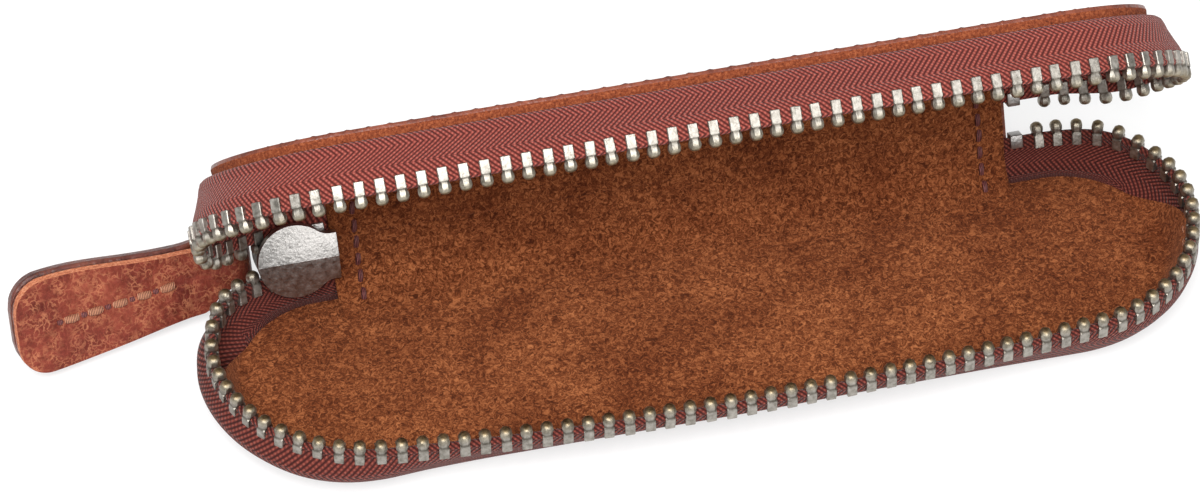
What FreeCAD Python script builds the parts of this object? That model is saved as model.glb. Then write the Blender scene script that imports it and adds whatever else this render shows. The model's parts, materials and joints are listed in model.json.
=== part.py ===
"""Zip-around leather pen case: two leather panels, a folding spine, a metal zip and a leather pull.

Millimetres and degrees. X runs along the case, Y towards the spine, Z up. The origin is the middle
of the bottom panel's underside, under the middle of the zip line. Every piece is modelled with the
case shut; the spine, lid, slider and pull are then turned to the stored pose, with the lid half open.
"""
import FreeCAD
import Part
import math
import os
from FreeCAD import Placement, Rotation, Vector

# Plan of the zip line
ZIP_LENGTH = 113.6
ZIP_WIDTH = 31.8
FRONT_CORNER_R = 17.6
FRONT_BOW = 4.2

# Plan of the panels, which end inside the zip line, so that the walls lean outwards
END_LEAN = 1.7
FRONT_LEAN = 3.8
PANEL_CORNER_R = 15.6
PANEL_BOW = 0.4

# Sheet materials and the height of each half
LEATHER_T = 1.4
LINING_T = 0.5
TAPE_T = 0.6
WALL_HEIGHT = 7.0
SHOULDER = 1.2
SEAM_ALLOWANCE = 5.0
LEATHER_STEP = 0.8
FOLD_EDGE_R = 1.2

# Spine
PARK_GAP = 0.4
TAPE_TUCK = 5.5
OPEN_HALF_ANGLE = 25.5

# Zip teeth and stops
TOOTH_PITCH = 2.3
TOOTH_T = 0.95
TOOTH_LENGTH = 2.9
TOOTH_WIDTH = 1.6
TOOTH_NECK = 1.5
TOOTH_TIP = 0.8
MESH_DEPTH = 1.2
OPEN_DROP = 1.5
STOP_LENGTH = 1.5
STOP_WIDTH = 1.6
STOP_GRIP = 1.1

# Slider
SLIDER_LENGTH = 9.3
SLIDER_HEAD_R = 4.35
SLIDER_TAIL_W = 5.5
SLIDER_NECK_R = 2.2
SLIDER_PLATE_T = 0.9
SLIDER_RIDGE = 0.35
SLIDER_FLANGE_W = 0.4
WEDGE_LENGTH = 2.6
WEDGE_WIDTH = 1.5
WEDGE_SETBACK = 0.65
SLIDER_TRAVEL = 4.0
CROWN_WIDTH = 2.4
CROWN_T = 0.9
CROWN_SLOT = 3.0

# Pull
RING_WIRE = 1.4
RING_REACH = 6.2
RING_BEND = 0.9
STRAP_LENGTH = 26.5
STRAP_LAYER_T = 1.3
STRAP_TIP_W = 10.9
STRAP_ROOT_W = 9.3
STRAP_EYE_W = 6.0
STRAP_TIP_R = 3.6
PULL_LEAN = 12.0

# Clearances
TOUCH_GAP = 0.1
FOLD_GAP = 0.15
SEAM_GAP = 0.2
TOOTH_GRIP_GAP = 0.05
SLIDE_GAP = 0.25
PIN_GAP = 0.2
LAYER_GAP = 0.08

# Sizes that follow from those above
HALF_LENGTH = ZIP_LENGTH / 2
HALF_WIDTH = ZIP_WIDTH / 2
TAPE_FACE = TAPE_T / 2
MID_Z = LEATHER_T + WALL_HEIGHT
HEEL_TOP = LEATHER_T + SHOULDER
LINING_Z = LEATHER_T + TAPE_T
TOOTH_TOP = MID_Z + MESH_DEPTH / 2
TAPE_TOP = TOOTH_TOP - TOOTH_NECK
SKIRT_TOP = TOOTH_TOP - TOOTH_LENGTH - SEAM_GAP


class Outline:
    """A line round the case: bowed front, round front corners, round back corners and spine.

    Stations are counted along it from the middle of the front, to the right.
    """

    def __init__(self, half_length, front, corner_r, bow):
        bow_r = half_length ** 2 / (2 * bow)
        bow_y = bow_r - front
        corner_x = half_length - corner_r
        self.corner_y = bow_y - math.sqrt((bow_r - corner_r) ** 2 - corner_x ** 2)
        self.back_r = HALF_WIDTH - self.corner_y
        self.back_x = half_length - self.back_r
        bow_angle = math.atan2(corner_x, bow_y - self.corner_y)
        bow_run = bow_r * bow_angle
        corner_run = bow_run + corner_r * (math.pi / 2 - bow_angle)
        self.back_run = corner_run + self.back_r * math.pi / 2
        self.arcs = (
            (0.0, bow_y, bow_r, 0.0, bow_run),
            (corner_x, self.corner_y, corner_r, bow_angle, corner_run),
            (self.back_x, self.corner_y, self.back_r, math.pi / 2, self.back_run),
        )

    def spine_run(self, x):
        """The station on the spine at a distance x from the middle of the case."""
        return self.back_run + self.back_x - x

    def station(self, run, offset=0.0, z=0.0):
        """A point on the line, moved outwards by offset, and the outward normal's angle."""
        side = math.copysign(1.0, run)
        left = abs(run)
        start = 0.0
        for centre_x, centre_y, radius, angle, end in self.arcs:
            if left <= end:
                turn = angle + (left - start) / radius
                reach = radius + offset
                x = centre_x + reach * math.sin(turn)
                return Vector(side * x, centre_y - reach * math.cos(turn), z), side * turn
            start = end
        return Vector(side * (self.back_x - (left - start)), HALF_WIDTH + offset, z), side * math.pi

    def stretches(self, first, last):
        """The arcs and lines between two stations: start, end and the arc's centre."""
        joins = sorted(sign * arc[-1] for arc in self.arcs for sign in (-1, 1))
        runs = [first] + [run for run in joins if first < run < last] + [last]
        for start, end in zip(runs, runs[1:]):
            middle = (start + end) / 2
            centres = [
                Vector(math.copysign(centre_x, middle), centre_y, 0)
                for centre_x, centre_y, _, _, reach in self.arcs
                if abs(middle) < reach
            ]
            yield start, end, centres[0] if centres else None

    def edges(self, first, last, offset, z):
        """Lines and arcs along the line between two stations."""
        found = []
        for start, end, centre in self.stretches(first, last):
            points = [self.station(run, offset, z)[0] for run in (start, (start + end) / 2, end)]
            if centre:
                found.append(Part.Arc(*points).toShape())
            else:
                found.append(Part.makeLine(points[0], points[2]))
        return found

    def strip(self, first, last, z):
        """The flat section of the tape that stands on the line between two stations."""
        ends = [
            [self.station(run, offset, z)[0] for offset in (-TAPE_FACE, TAPE_FACE)]
            for run in (first, last)
        ]
        outer = self.edges(first, last, TAPE_FACE, z)
        inner = self.edges(first, last, -TAPE_FACE, z)
        caps = [Part.makeLine(*ends[0]), Part.makeLine(*reversed(ends[1]))]
        return Part.Wire(caps[:1] + outer + caps[1:] + inner[::-1])

    def sweep(self, profile, first, last):
        """A closed profile of (offset, height) points, carried along the line between two stations."""
        solids = []
        for start, end, centre in self.stretches(first, last):
            corners = [self.station(start, offset, z)[0] for offset, z in profile]
            face = Part.Face(Part.makePolygon(corners + corners[:1]))
            if centre:
                turn = self.station(end)[1] - self.station(start)[1]
                solids.append(face.revolve(centre, Vector(0, 0, 1), math.degrees(turn)))
            else:
                solids.append(face.extrude(self.station(end)[0] - self.station(start)[0]))
        return solids[0].fuse(solids[1:]).removeSplitter() if solids[1:] else solids[0]

    def plate(self, offset, z_low, thickness):
        """A flat plate with the line's plan, moved outwards by offset."""
        edges = self.edges(-self.back_run, self.back_run, offset, z_low)
        back = [self.station(sign * self.back_run, offset, z_low)[0] for sign in (-1, 1)]
        wire = Part.Wire(Part.__sortEdges__(edges + [Part.makeLine(*back)]))
        return Part.Face(wire).extrude(Vector(0, 0, thickness))

    def match(self, run, other):
        """The station on another outline's same arc, at the same share of its length."""
        start = other_start = 0.0
        for arc, other_arc in zip(self.arcs, other.arcs):
            end, other_end = arc[-1], other_arc[-1]
            if abs(run) <= end:
                share = (abs(run) - start) / (end - start)
                return math.copysign(other_start + share * (other_end - other_start), run)
            start, other_start = end, other_end
        return math.copysign(other_start + abs(run) - start, run)


ZIP = Outline(HALF_LENGTH, HALF_WIDTH, FRONT_CORNER_R, FRONT_BOW)
PANEL = Outline(HALF_LENGTH - END_LEAN, HALF_WIDTH - FRONT_LEAN, PANEL_CORNER_R, PANEL_BOW)

SPINE_END = ZIP.back_x - SLIDER_LENGTH / 2 - PARK_GAP
SPINE_INNER = HALF_WIDTH + TAPE_FACE + TOUCH_GAP
SPINE_OUTER = SPINE_INNER + LEATHER_T
TUCK_X = SPINE_END - TAPE_TUCK
EDGE_RUN = ZIP.spine_run(SPINE_END)
TUCK_RUN = ZIP.spine_run(TUCK_X)


def between_teeth(run):
    """The station nearest to run that lies clear of the teeth of both rows."""
    return (round(run / TOOTH_PITCH - 0.25) + 0.25) * TOOTH_PITCH


def tooth_from(run):
    """The first station from run on that has a tooth of either row."""
    return math.ceil(2 * run / TOOTH_PITCH) * TOOTH_PITCH / 2


# The spine carries the ends of the zip, from these stations on
SLIDER_RUN = -ZIP.back_run
LEFT_SPLIT = between_teeth(SLIDER_RUN + SLIDER_LENGTH / 2 + SLIDER_TRAVEL + TOOTH_PITCH / 2)
RIGHT_SPLIT = between_teeth(ZIP.back_run)
WEDGE_TAIL = SLIDER_LENGTH / 2 - WEDGE_SETBACK - WEDGE_LENGTH
PARTING_RUN = between_teeth(SLIDER_RUN + WEDGE_TAIL - TOOTH_PITCH / 2)


def ribbon(first, last, z_low, z_high):
    """An upright strip of tape between two stations of the zip line."""
    section = [(TAPE_FACE, z_low), (TAPE_FACE, z_high), (-TAPE_FACE, z_high), (-TAPE_FACE, z_low)]
    return ZIP.sweep(section, first, last)


def block(x_half, y_low, y_high, z_low, z_high):
    """A box centred on the middle of the case."""
    corner = Vector(-x_half, y_low, z_low)
    return Part.makeBox(2 * x_half, y_high - y_low, z_high - z_low, corner)


def polygon_prism(points, thickness):
    """Points in the XY plane, extruded upwards."""
    corners = [Vector(x, y, 0) for x, y in points]
    return Part.Face(Part.makePolygon(corners + corners[:1])).extrude(Vector(0, 0, thickness))


def mirrored_pairs(points):
    """A half outline, from its middle line outwards, completed by its mirror image in X."""
    return points + [(-x, y) for x, y in reversed(points)]


def upper(shape):
    """The lid's copy of a lower piece, mirrored in the zip's mid-plane."""
    return shape.mirror(Vector(0, 0, MID_Z), Vector(0, 0, 1))


def panel():
    """Leather panel, with the tab that reaches back to the fold and a rounded fold edge."""
    plate = PANEL.plate(TAPE_FACE - LEATHER_STEP, 0, LEATHER_T)
    plate = plate.fuse(block(SPINE_END, 0, SPINE_OUTER, 0, LEATHER_T)).removeSplitter()
    fold = [
        edge for edge in plate.Edges
        if edge.BoundBox.YMin > SPINE_OUTER - TOUCH_GAP and edge.BoundBox.ZMax < TOUCH_GAP
    ]
    return plate.makeFillet(FOLD_EDGE_R, fold)


def panel_lining():
    """Suede sheet over the tape's seam allowance, glued to the leather inside it."""
    edge = TAPE_FACE - SHOULDER - SEAM_GAP
    sheet = PANEL.plate(edge, LINING_Z, LINING_T)
    glued = PANEL.plate(TAPE_FACE - SEAM_ALLOWANCE - SEAM_GAP, LEATHER_T, TAPE_T)
    back = block(TUCK_X - SEAM_GAP, 0, HALF_WIDTH + edge, LEATHER_T, LINING_Z)
    return sheet.fuse([glued, back]).removeSplitter()


def tape_heel():
    """The tape's seam allowance and the bevel where it turns up beside the panel."""
    turn = TAPE_FACE - SHOULDER
    sewn = TAPE_FACE - SEAM_ALLOWANCE
    profile = [
        (TAPE_FACE, HEEL_TOP),
        (turn, LEATHER_T),
        (sewn, LEATHER_T),
        (sewn, LINING_Z),
        (turn, LINING_Z),
        (-TAPE_FACE, HEEL_TOP),
    ]
    tuck = PANEL.spine_run(TUCK_X)
    return PANEL.sweep(profile, -tuck, tuck)


def tape_skirt():
    """The leaning stretch of tape from the panel's line out to the zip line, cut off at the splits."""
    first = LEFT_SPLIT - TOOTH_PITCH
    last = RIGHT_SPLIT + TOOTH_PITCH
    foot = PANEL.strip(ZIP.match(first, PANEL), ZIP.match(last, PANEL), HEEL_TOP)
    crest = ZIP.strip(first, last, SKIRT_TOP)
    skirt = Part.makeLoft([foot, crest], True, True)
    reach = 2 * TOOTH_PITCH + END_LEAN
    before = Part.makeBox(reach, 2 * reach, MID_Z, Vector(-reach, -reach, 0))
    after = Part.makeBox(reach, 2 * reach, MID_Z, Vector(0, -reach, 0))
    spare = [along_zip(before, LEFT_SPLIT + TOUCH_GAP), along_zip(after, RIGHT_SPLIT - TOUCH_GAP)]
    return skirt.cut(spare)


def panel_tape():
    """One zip tape, sewn to its panel, leaning out to the zip line and upright at the teeth."""
    band = ribbon(LEFT_SPLIT + TOUCH_GAP, RIGHT_SPLIT - TOUCH_GAP, SKIRT_TOP, TAPE_TOP)
    return tape_heel().fuse([tape_skirt(), band]).removeSplitter()


def tape_ends():
    """The two ends of a tape, tucked between the spine's leather and its lining."""
    foot = HEEL_TOP + SEAM_GAP
    open_top = TAPE_TOP - OPEN_DROP
    meshed = ribbon(-TUCK_RUN, PARTING_RUN, foot, TAPE_TOP)
    parted = ribbon(PARTING_RUN, LEFT_SPLIT - TOUCH_GAP, foot, open_top)
    right = ribbon(RIGHT_SPLIT + TOUCH_GAP, TUCK_RUN, foot, open_top)
    return Part.Compound([meshed.fuse(parted).removeSplitter(), right])


def tooth():
    """One tooth: two legs that grip the tape's edge, and a tapered head at the top."""
    half = TOOTH_WIDTH / 2
    slot = TAPE_FACE + TOOTH_GRIP_GAP
    outline = [
        (slot, TOOTH_NECK - TOOTH_GRIP_GAP),
        (slot, TOOTH_LENGTH),
        (half, TOOTH_LENGTH),
        (half, MESH_DEPTH),
        (TOOTH_TIP / 2, 0),
    ]
    flat = polygon_prism(mirrored_pairs(outline), TOOTH_T)
    flat.translate(Vector(0, 0, -TOOTH_T / 2))
    upright = Rotation(Vector(0, 1, 0), Vector(0, 0, -1), Vector(-1, 0, 0), "XYZ")
    flat.Placement = Placement(Vector(0, 0, TOOTH_TOP), upright).multiply(flat.Placement)
    return flat


def along_zip(shape, run, drop=0.0):
    """A copy of a shape that stands over the origin, moved to a station of the zip line."""
    point, turn = ZIP.station(run)
    copy = shape.copy()
    place = Placement(point - Vector(0, 0, drop), Rotation(Vector(0, 0, 1), math.degrees(turn)))
    copy.Placement = place.multiply(copy.Placement)
    return copy


def tooth_row(first, last, phase, drop=0.0):
    """The teeth of one row between two stations; phase shifts the row by a share of the pitch."""
    start = math.ceil(first / TOOTH_PITCH - phase)
    stop = math.floor(last / TOOTH_PITCH - phase)
    pattern = tooth()
    return [along_zip(pattern, (i + phase) * TOOTH_PITCH, drop) for i in range(start, stop + 1)]


def end_teeth(phase):
    """The teeth that the spine carries: meshed behind the slider, parted before it and at the stops."""
    last = EDGE_RUN - STOP_LENGTH - TOOTH_PITCH / 2
    return Part.Compound(
        tooth_row(BOTTOM_STOP_RUN + STOP_LENGTH / 2, PARTING_RUN, phase)
        + tooth_row(PARTING_RUN, LEFT_SPLIT, phase, OPEN_DROP)
        + tooth_row(RIGHT_SPLIT, last, phase, OPEN_DROP)
    )


def top_stop():
    """A clip crimped on the end of one row, beside the spine's lining."""
    half = STOP_WIDTH / 2
    slot = TAPE_FACE + TOOTH_GRIP_GAP
    outline = [(slot, 0), (slot, STOP_GRIP), (half, STOP_GRIP), (half, -STOP_GRIP / 2)]
    clip = polygon_prism(mirrored_pairs(outline), STOP_LENGTH)
    clip.translate(Vector(0, 0, -STOP_LENGTH / 2))
    upright = Rotation(Vector(0, 1, 0), Vector(0, 0, -1), Vector(-1, 0, 0), "XYZ")
    crest = Vector(0, 0, TAPE_TOP + TOOTH_GRIP_GAP)
    clip.Placement = Placement(crest, upright).multiply(clip.Placement)
    return along_zip(clip, EDGE_RUN - STOP_LENGTH / 2 - SEAM_GAP, OPEN_DROP)


def bottom_stop():
    """A clip that grips both tapes and holds the closed end of the zip together."""
    half = STOP_WIDTH / 2
    slot = TAPE_FACE + TOOTH_GRIP_GAP
    bar = MID_Z - TAPE_TOP - TOOTH_GRIP_GAP
    quarter = [(half, 0), (half, bar + STOP_GRIP), (slot, bar + STOP_GRIP), (slot, bar)]
    outline = quarter + [(-x, z) for x, z in reversed(quarter)]
    outline += [(-x, -z) for x, z in quarter[1:]] + [(x, -z) for x, z in reversed(quarter[1:])]
    clip = polygon_prism(outline, STOP_LENGTH)
    clip.translate(Vector(0, 0, -STOP_LENGTH / 2))
    upright = Rotation(Vector(0, 1, 0), Vector(0, 0, -1), Vector(-1, 0, 0), "XYZ")
    clip.Placement = Placement(Vector(0, 0, MID_Z), upright).multiply(clip.Placement)
    return along_zip(clip, BOTTOM_STOP_RUN)


def spine_panel():
    """The leather strip between the two folds."""
    edge = LEATHER_T + FOLD_GAP
    return block(SPINE_END, SPINE_INNER, SPINE_OUTER, edge, 2 * MID_Z - edge)


def spine_lining():
    """Suede strip that covers the tape ends and is glued to the leather between them."""
    edge = HEEL_TOP + SEAM_GAP
    face = HALF_WIDTH - TAPE_FACE
    sheet = block(SPINE_END, face - LINING_T, face, edge, 2 * MID_Z - edge)
    glued = block(TUCK_X - SEAM_GAP, face, SPINE_INNER, edge, 2 * MID_Z - edge)
    return sheet.fuse(glued).removeSplitter()


# The slider's own frame: U towards its mouth, V up and N out of the case, from the slider's middle
SLIDER_FRAME = Placement(
    Vector(-ZIP.back_x, HALF_WIDTH, MID_Z),
    Rotation(Vector(-1, 0, 0), Vector(0, 0, 1), Vector(0, 1, 0), "XYZ"),
)
SLIDER_HALF = SLIDER_LENGTH / 2
HEAD_U = SLIDER_HALF - SLIDER_HEAD_R
CURVE_DROP = SLIDER_HALF ** 2 / (2 * ZIP.back_r)
OUTER_FACE_N = TOOTH_WIDTH / 2 + SLIDE_GAP
INNER_FACE_N = -TOOTH_WIDTH / 2 - CURVE_DROP - SLIDE_GAP
OUTER_TOP_N = OUTER_FACE_N + SLIDER_PLATE_T
FLANGE_H = OUTER_FACE_N - TAPE_FACE - SLIDE_GAP
PIN_R = RING_WIRE / 2
EYE_R = PIN_R + PIN_GAP + STRAP_LAYER_T
PIN_N = OUTER_TOP_N + EYE_R - PIN_GAP
SLOT_R = PIN_R + PIN_GAP
PIN_U = HEAD_U + CROWN_SLOT / 2 - SLOT_R
STRAP_U = PIN_U + RING_REACH
STOP_REACH = STOP_LENGTH + SEAM_GAP + TOOTH_T / 2
FIRST_TOOTH = tooth_from(SLIDER_RUN - SLIDER_HALF + SEAM_GAP + STOP_REACH)
BOTTOM_STOP_RUN = FIRST_TOOTH - STOP_REACH + STOP_LENGTH / 2


def slider_plate(thickness):
    """A plate with a round mouth end and a narrow tail, joined by hollow shoulders."""
    tail = SLIDER_TAIL_W / 2
    reach = SLIDER_HEAD_R + SLIDER_NECK_R
    rise = tail + SLIDER_NECK_R
    neck_u = HEAD_U - math.sqrt(reach ** 2 - rise ** 2)
    share = SLIDER_HEAD_R / reach
    join = Vector(HEAD_U + (neck_u - HEAD_U) * share, rise * share, 0)
    hollow_dir = (join + Vector(neck_u, tail, 0)) * 0.5 - Vector(neck_u, rise, 0)
    hollow = Vector(neck_u, rise, 0) + hollow_dir.normalize() * SLIDER_NECK_R

    def flip(point):
        return Vector(point.x, -point.y, point.z)

    tail_in = Vector(neck_u, tail, 0)
    tail_out = Vector(-SLIDER_HALF, tail, 0)
    wire = Part.Wire([
        Part.Arc(flip(join), Vector(SLIDER_HALF, 0, 0), join).toShape(),
        Part.Arc(join, hollow, tail_in).toShape(),
        Part.makeLine(tail_in, tail_out),
        Part.makeLine(tail_out, flip(tail_out)),
        Part.makeLine(flip(tail_out), flip(tail_in)),
        Part.Arc(flip(tail_in), flip(hollow), flip(join)).toShape(),
    ])
    return Part.Face(wire).extrude(Vector(0, 0, thickness))


def slider_body():
    """Two plates held apart by the wedge that parts the teeth, with side flanges on the outer plate."""
    ridge_t = SLIDER_PLATE_T + SLIDER_RIDGE
    inner = slider_plate(ridge_t)
    inner.translate(Vector(0, 0, INNER_FACE_N - ridge_t))
    low = INNER_FACE_N - SLIDER_PLATE_T
    roof = Part.makePolygon([
        Vector(-SLIDER_LENGTH, -SLIDER_HEAD_R, INNER_FACE_N),
        Vector(-SLIDER_LENGTH, SLIDER_HEAD_R, INNER_FACE_N),
        Vector(-SLIDER_LENGTH, SLIDER_HEAD_R, low),
        Vector(-SLIDER_LENGTH, 0, low - SLIDER_RIDGE),
        Vector(-SLIDER_LENGTH, -SLIDER_HEAD_R, low),
        Vector(-SLIDER_LENGTH, -SLIDER_HEAD_R, INNER_FACE_N),
    ])
    inner = inner.common(Part.Face(roof).extrude(Vector(2 * SLIDER_LENGTH, 0, 0)))

    outer = slider_plate(SLIDER_PLATE_T)
    outer.translate(Vector(0, 0, OUTER_FACE_N))

    rim = slider_plate(FLANGE_H)
    rim.translate(Vector(0, 0, OUTER_FACE_N - FLANGE_H))
    channel = 2 * (SLIDER_HEAD_R - SLIDER_FLANGE_W)
    rim = rim.cut(Part.makeBox(
        2 * SLIDER_LENGTH, channel, FLANGE_H,
        Vector(-SLIDER_LENGTH, -channel / 2, OUTER_FACE_N - FLANGE_H),
    ))

    tip = SLIDER_HALF - WEDGE_SETBACK
    wedge = polygon_prism(
        [
            (WEDGE_TAIL, 0),
            (WEDGE_TAIL + WEDGE_LENGTH / 2, -WEDGE_WIDTH / 2),
            (tip, -WEDGE_WIDTH / 3),
            (tip, WEDGE_WIDTH / 3),
            (WEDGE_TAIL + WEDGE_LENGTH / 2, WEDGE_WIDTH / 2),
        ],
        OUTER_FACE_N - INNER_FACE_N,
    )
    wedge.translate(Vector(0, 0, INNER_FACE_N))
    return outer.fuse([rim, wedge, inner]).removeSplitter()


def slot_prism(length, radius, z_low, z_high):
    """A round-ended bar in the UN plane, from V = z_low to z_high, round the ring's place in the crown."""
    left = HEAD_U - length / 2 + SLOT_R
    right = HEAD_U + length / 2 - SLOT_R
    wire = Part.Wire([
        Part.makeLine(Vector(left, z_low, PIN_N + radius), Vector(right, z_low, PIN_N + radius)),
        Part.Arc(
            Vector(right, z_low, PIN_N + radius),
            Vector(right + radius, z_low, PIN_N),
            Vector(right, z_low, PIN_N - radius),
        ).toShape(),
        Part.makeLine(Vector(right, z_low, PIN_N - radius), Vector(left, z_low, PIN_N - radius)),
        Part.Arc(
            Vector(left, z_low, PIN_N - radius),
            Vector(left - radius, z_low, PIN_N),
            Vector(left, z_low, PIN_N + radius),
        ).toShape(),
    ])
    return Part.Face(wire).extrude(Vector(0, z_high - z_low, 0))


def slider_crown():
    """The bridge on the outer plate that the ring hangs in."""
    half = CROWN_WIDTH / 2
    bridge = slot_prism(CROWN_SLOT, SLOT_R + CROWN_T, -half, half)
    length = CROWN_SLOT - 2 * SLOT_R + 2 * (SLOT_R + CROWN_T)
    foot = Part.makeBox(
        length, CROWN_WIDTH, PIN_N - OUTER_TOP_N,
        Vector(HEAD_U - length / 2, -half, OUTER_TOP_N),
    )
    plate_side = Part.makeBox(
        2 * length, 2 * CROWN_WIDTH, 2 * PIN_N,
        Vector(HEAD_U - length, -CROWN_WIDTH, OUTER_TOP_N - 2 * PIN_N),
    )
    solid = bridge.fuse(foot).cut(plate_side)
    return solid.cut(slot_prism(CROWN_SLOT, SLOT_R, -CROWN_WIDTH, CROWN_WIDTH)).removeSplitter()


def pull_ring():
    """Oblong wire link from the crown to the strap's eye, with a short bend at each corner."""
    side = STRAP_EYE_W / 2 + PIN_GAP + PIN_R + RING_BEND * (math.sqrt(2) - 1)
    corners = [Vector(u, v, PIN_N) for u, v in (
        (PIN_U, -side), (STRAP_U, -side), (STRAP_U, side), (PIN_U, side),
    )]
    bends = []
    for before, corner, after in zip(corners[-1:] + corners, corners, corners[1:] + corners[:1]):
        bends.append(corner + (before - corner).normalize() * RING_BEND)
        bends.append(corner + (after - corner).normalize() * RING_BEND)
    start = (bends[-1] + bends[0]) * 0.5
    wire = Part.Wire(Part.makePolygon([start] + bends + [start]))
    section = Part.Wire(Part.makeCircle(PIN_R, start, bends[0] - start))
    mitred = 1
    return wire.makePipeShell([section], True, False, mitred)


def strap_plan():
    """The strap seen flat: narrow at the eye, widening to a round-cornered tip."""
    eye, root, tip = STRAP_EYE_W / 2, STRAP_ROOT_W / 2, STRAP_TIP_W / 2
    start = STRAP_U - 2 * EYE_R
    flare = STRAP_U + EYE_R
    end = STRAP_U + STRAP_LENGTH
    corner = end - STRAP_TIP_R
    slant = STRAP_TIP_R * math.sqrt(0.5)

    def side(way):
        shoulder = flare + STRAP_LAYER_T
        return [
            Part.makeLine(Vector(start, way * eye, 0), Vector(flare, way * eye, 0)),
            Part.makeLine(Vector(flare, way * eye, 0), Vector(shoulder, way * root, 0)),
            Part.makeLine(Vector(shoulder, way * root, 0), Vector(corner, way * tip, 0)),
            Part.Arc(
                Vector(corner, way * tip, 0),
                Vector(corner + slant, way * (tip - STRAP_TIP_R + slant), 0),
                Vector(end, way * (tip - STRAP_TIP_R), 0),
            ).toShape(),
        ]

    inner = tip - STRAP_TIP_R
    edges = side(1) + side(-1)
    edges.append(Part.makeLine(Vector(start, eye, 0), Vector(start, -eye, 0)))
    edges.append(Part.makeLine(Vector(end, inner, 0), Vector(end, -inner, 0)))
    face = Part.Face(Part.Wire(Part.__sortEdges__(edges)))
    face.translate(Vector(0, 0, PIN_N - 2 * EYE_R))
    return face.extrude(Vector(0, 0, 4 * EYE_R))


def pull_strap():
    """A leather strip folded round the ring and laid back on itself in two layers."""
    width = Vector(0, 2 * STRAP_TIP_W, 0)
    low_v = -STRAP_TIP_W
    half_gap = LAYER_GAP / 2
    outer_half = half_gap + STRAP_LAYER_T
    end = STRAP_U + STRAP_LENGTH
    hole_r = PIN_R + PIN_GAP

    eye = Part.makeCylinder(EYE_R, width.Length, Vector(STRAP_U, low_v, PIN_N), Vector(0, 1, 0))
    neck_u = STRAP_U + 2 * EYE_R
    blend = Part.makePolygon([
        Vector(STRAP_U, low_v, PIN_N + EYE_R),
        Vector(neck_u, low_v, PIN_N + outer_half),
        Vector(neck_u, low_v, PIN_N - outer_half),
        Vector(STRAP_U, low_v, PIN_N - EYE_R),
        Vector(STRAP_U, low_v, PIN_N + EYE_R),
    ])
    neck = Part.Face(blend).extrude(width)
    layers = Part.makeBox(
        end - STRAP_U, width.Length, 2 * outer_half, Vector(STRAP_U, low_v, PIN_N - outer_half)
    )
    hole = Part.makeCylinder(hole_r, width.Length, Vector(STRAP_U, low_v, PIN_N), Vector(0, 1, 0))
    part_line = Part.makeBox(
        end - STRAP_U, width.Length, LAYER_GAP, Vector(STRAP_U, low_v, PIN_N - half_gap)
    )
    strip = eye.fuse([neck, layers]).cut(hole.fuse(part_line))
    return strip.common(strap_plan()).removeSplitter()


# Turns from the shut case to the stored pose
LOWER_FOLD = Vector(0, SPINE_OUTER, LEATHER_T)
UPPER_FOLD = Vector(0, SPINE_OUTER, 2 * MID_Z - LEATHER_T)
OPENING_AXIS = Vector(-1, 0, 0)


def opened(shape, fold):
    """The shape turned open by the half angle about a fold line."""
    turned = shape.copy()
    turned.rotate(fold, OPENING_AXIS, OPEN_HALF_ANGLE)
    return turned


def on_spine(shape):
    return opened(shape, LOWER_FOLD)


def on_lid(shape):
    return on_spine(opened(shape, UPPER_FOLD))


def on_slider(shape):
    placed = shape.copy()
    placed.Placement = SLIDER_FRAME.multiply(placed.Placement)
    return on_spine(placed)


def on_ring(shape):
    """The shape on the ring, which leans towards the case by turning in the crown."""
    leaning = shape.copy()
    leaning.rotate(Vector(PIN_U, 0, PIN_N), Vector(0, 1, 0), PULL_LEAN)
    return on_slider(leaning)


def pieces():
    """Every piece of the case in its stored place, by node name."""
    cover, lining, tape = panel(), panel_lining(), panel_tape()
    ends, stop = tape_ends(), top_stop()
    lower_row = Part.Compound(tooth_row(LEFT_SPLIT, RIGHT_SPLIT, 0.0))
    upper_row = Part.Compound(tooth_row(LEFT_SPLIT, RIGHT_SPLIT, 0.5))
    return {
        "bottom_cover": cover,
        "floor_lining": lining,
        "lower_zip_tape": tape,
        "lower_zip_teeth": lower_row,
        "spine_cover": on_spine(spine_panel()),
        "spine_lining": on_spine(spine_lining()),
        "lower_tape_ends": on_spine(ends),
        "upper_tape_ends": on_spine(upper(ends)),
        "lower_end_teeth": on_spine(end_teeth(0.0)),
        "upper_end_teeth": on_spine(upper(end_teeth(0.5))),
        "bottom_stop": on_spine(bottom_stop()),
        "lower_top_stop": on_spine(stop),
        "upper_top_stop": on_spine(upper(stop)),
        "top_cover": on_lid(upper(cover)),
        "lid_lining": on_lid(upper(lining)),
        "upper_zip_tape": on_lid(upper(tape)),
        "upper_zip_teeth": on_lid(upper(upper_row)),
        "slider_body": on_slider(slider_body()),
        "slider_crown": on_slider(slider_crown()),
        "pull_ring": on_ring(pull_ring()),
        "pull_strap": on_ring(pull_strap()),
    }


os.makedirs("parts", exist_ok=True)
for name, shape in pieces().items():
    shape.exportStep(f"parts/{name}.step")
    print(f"{name}: {len(shape.Solids)} solid(s), {shape.Volume:.1f} mm3, valid {shape.isValid()}")
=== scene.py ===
import json
import math

import bmesh
import bpy
import numpy as np
from mathutils import Matrix, Vector


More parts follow.
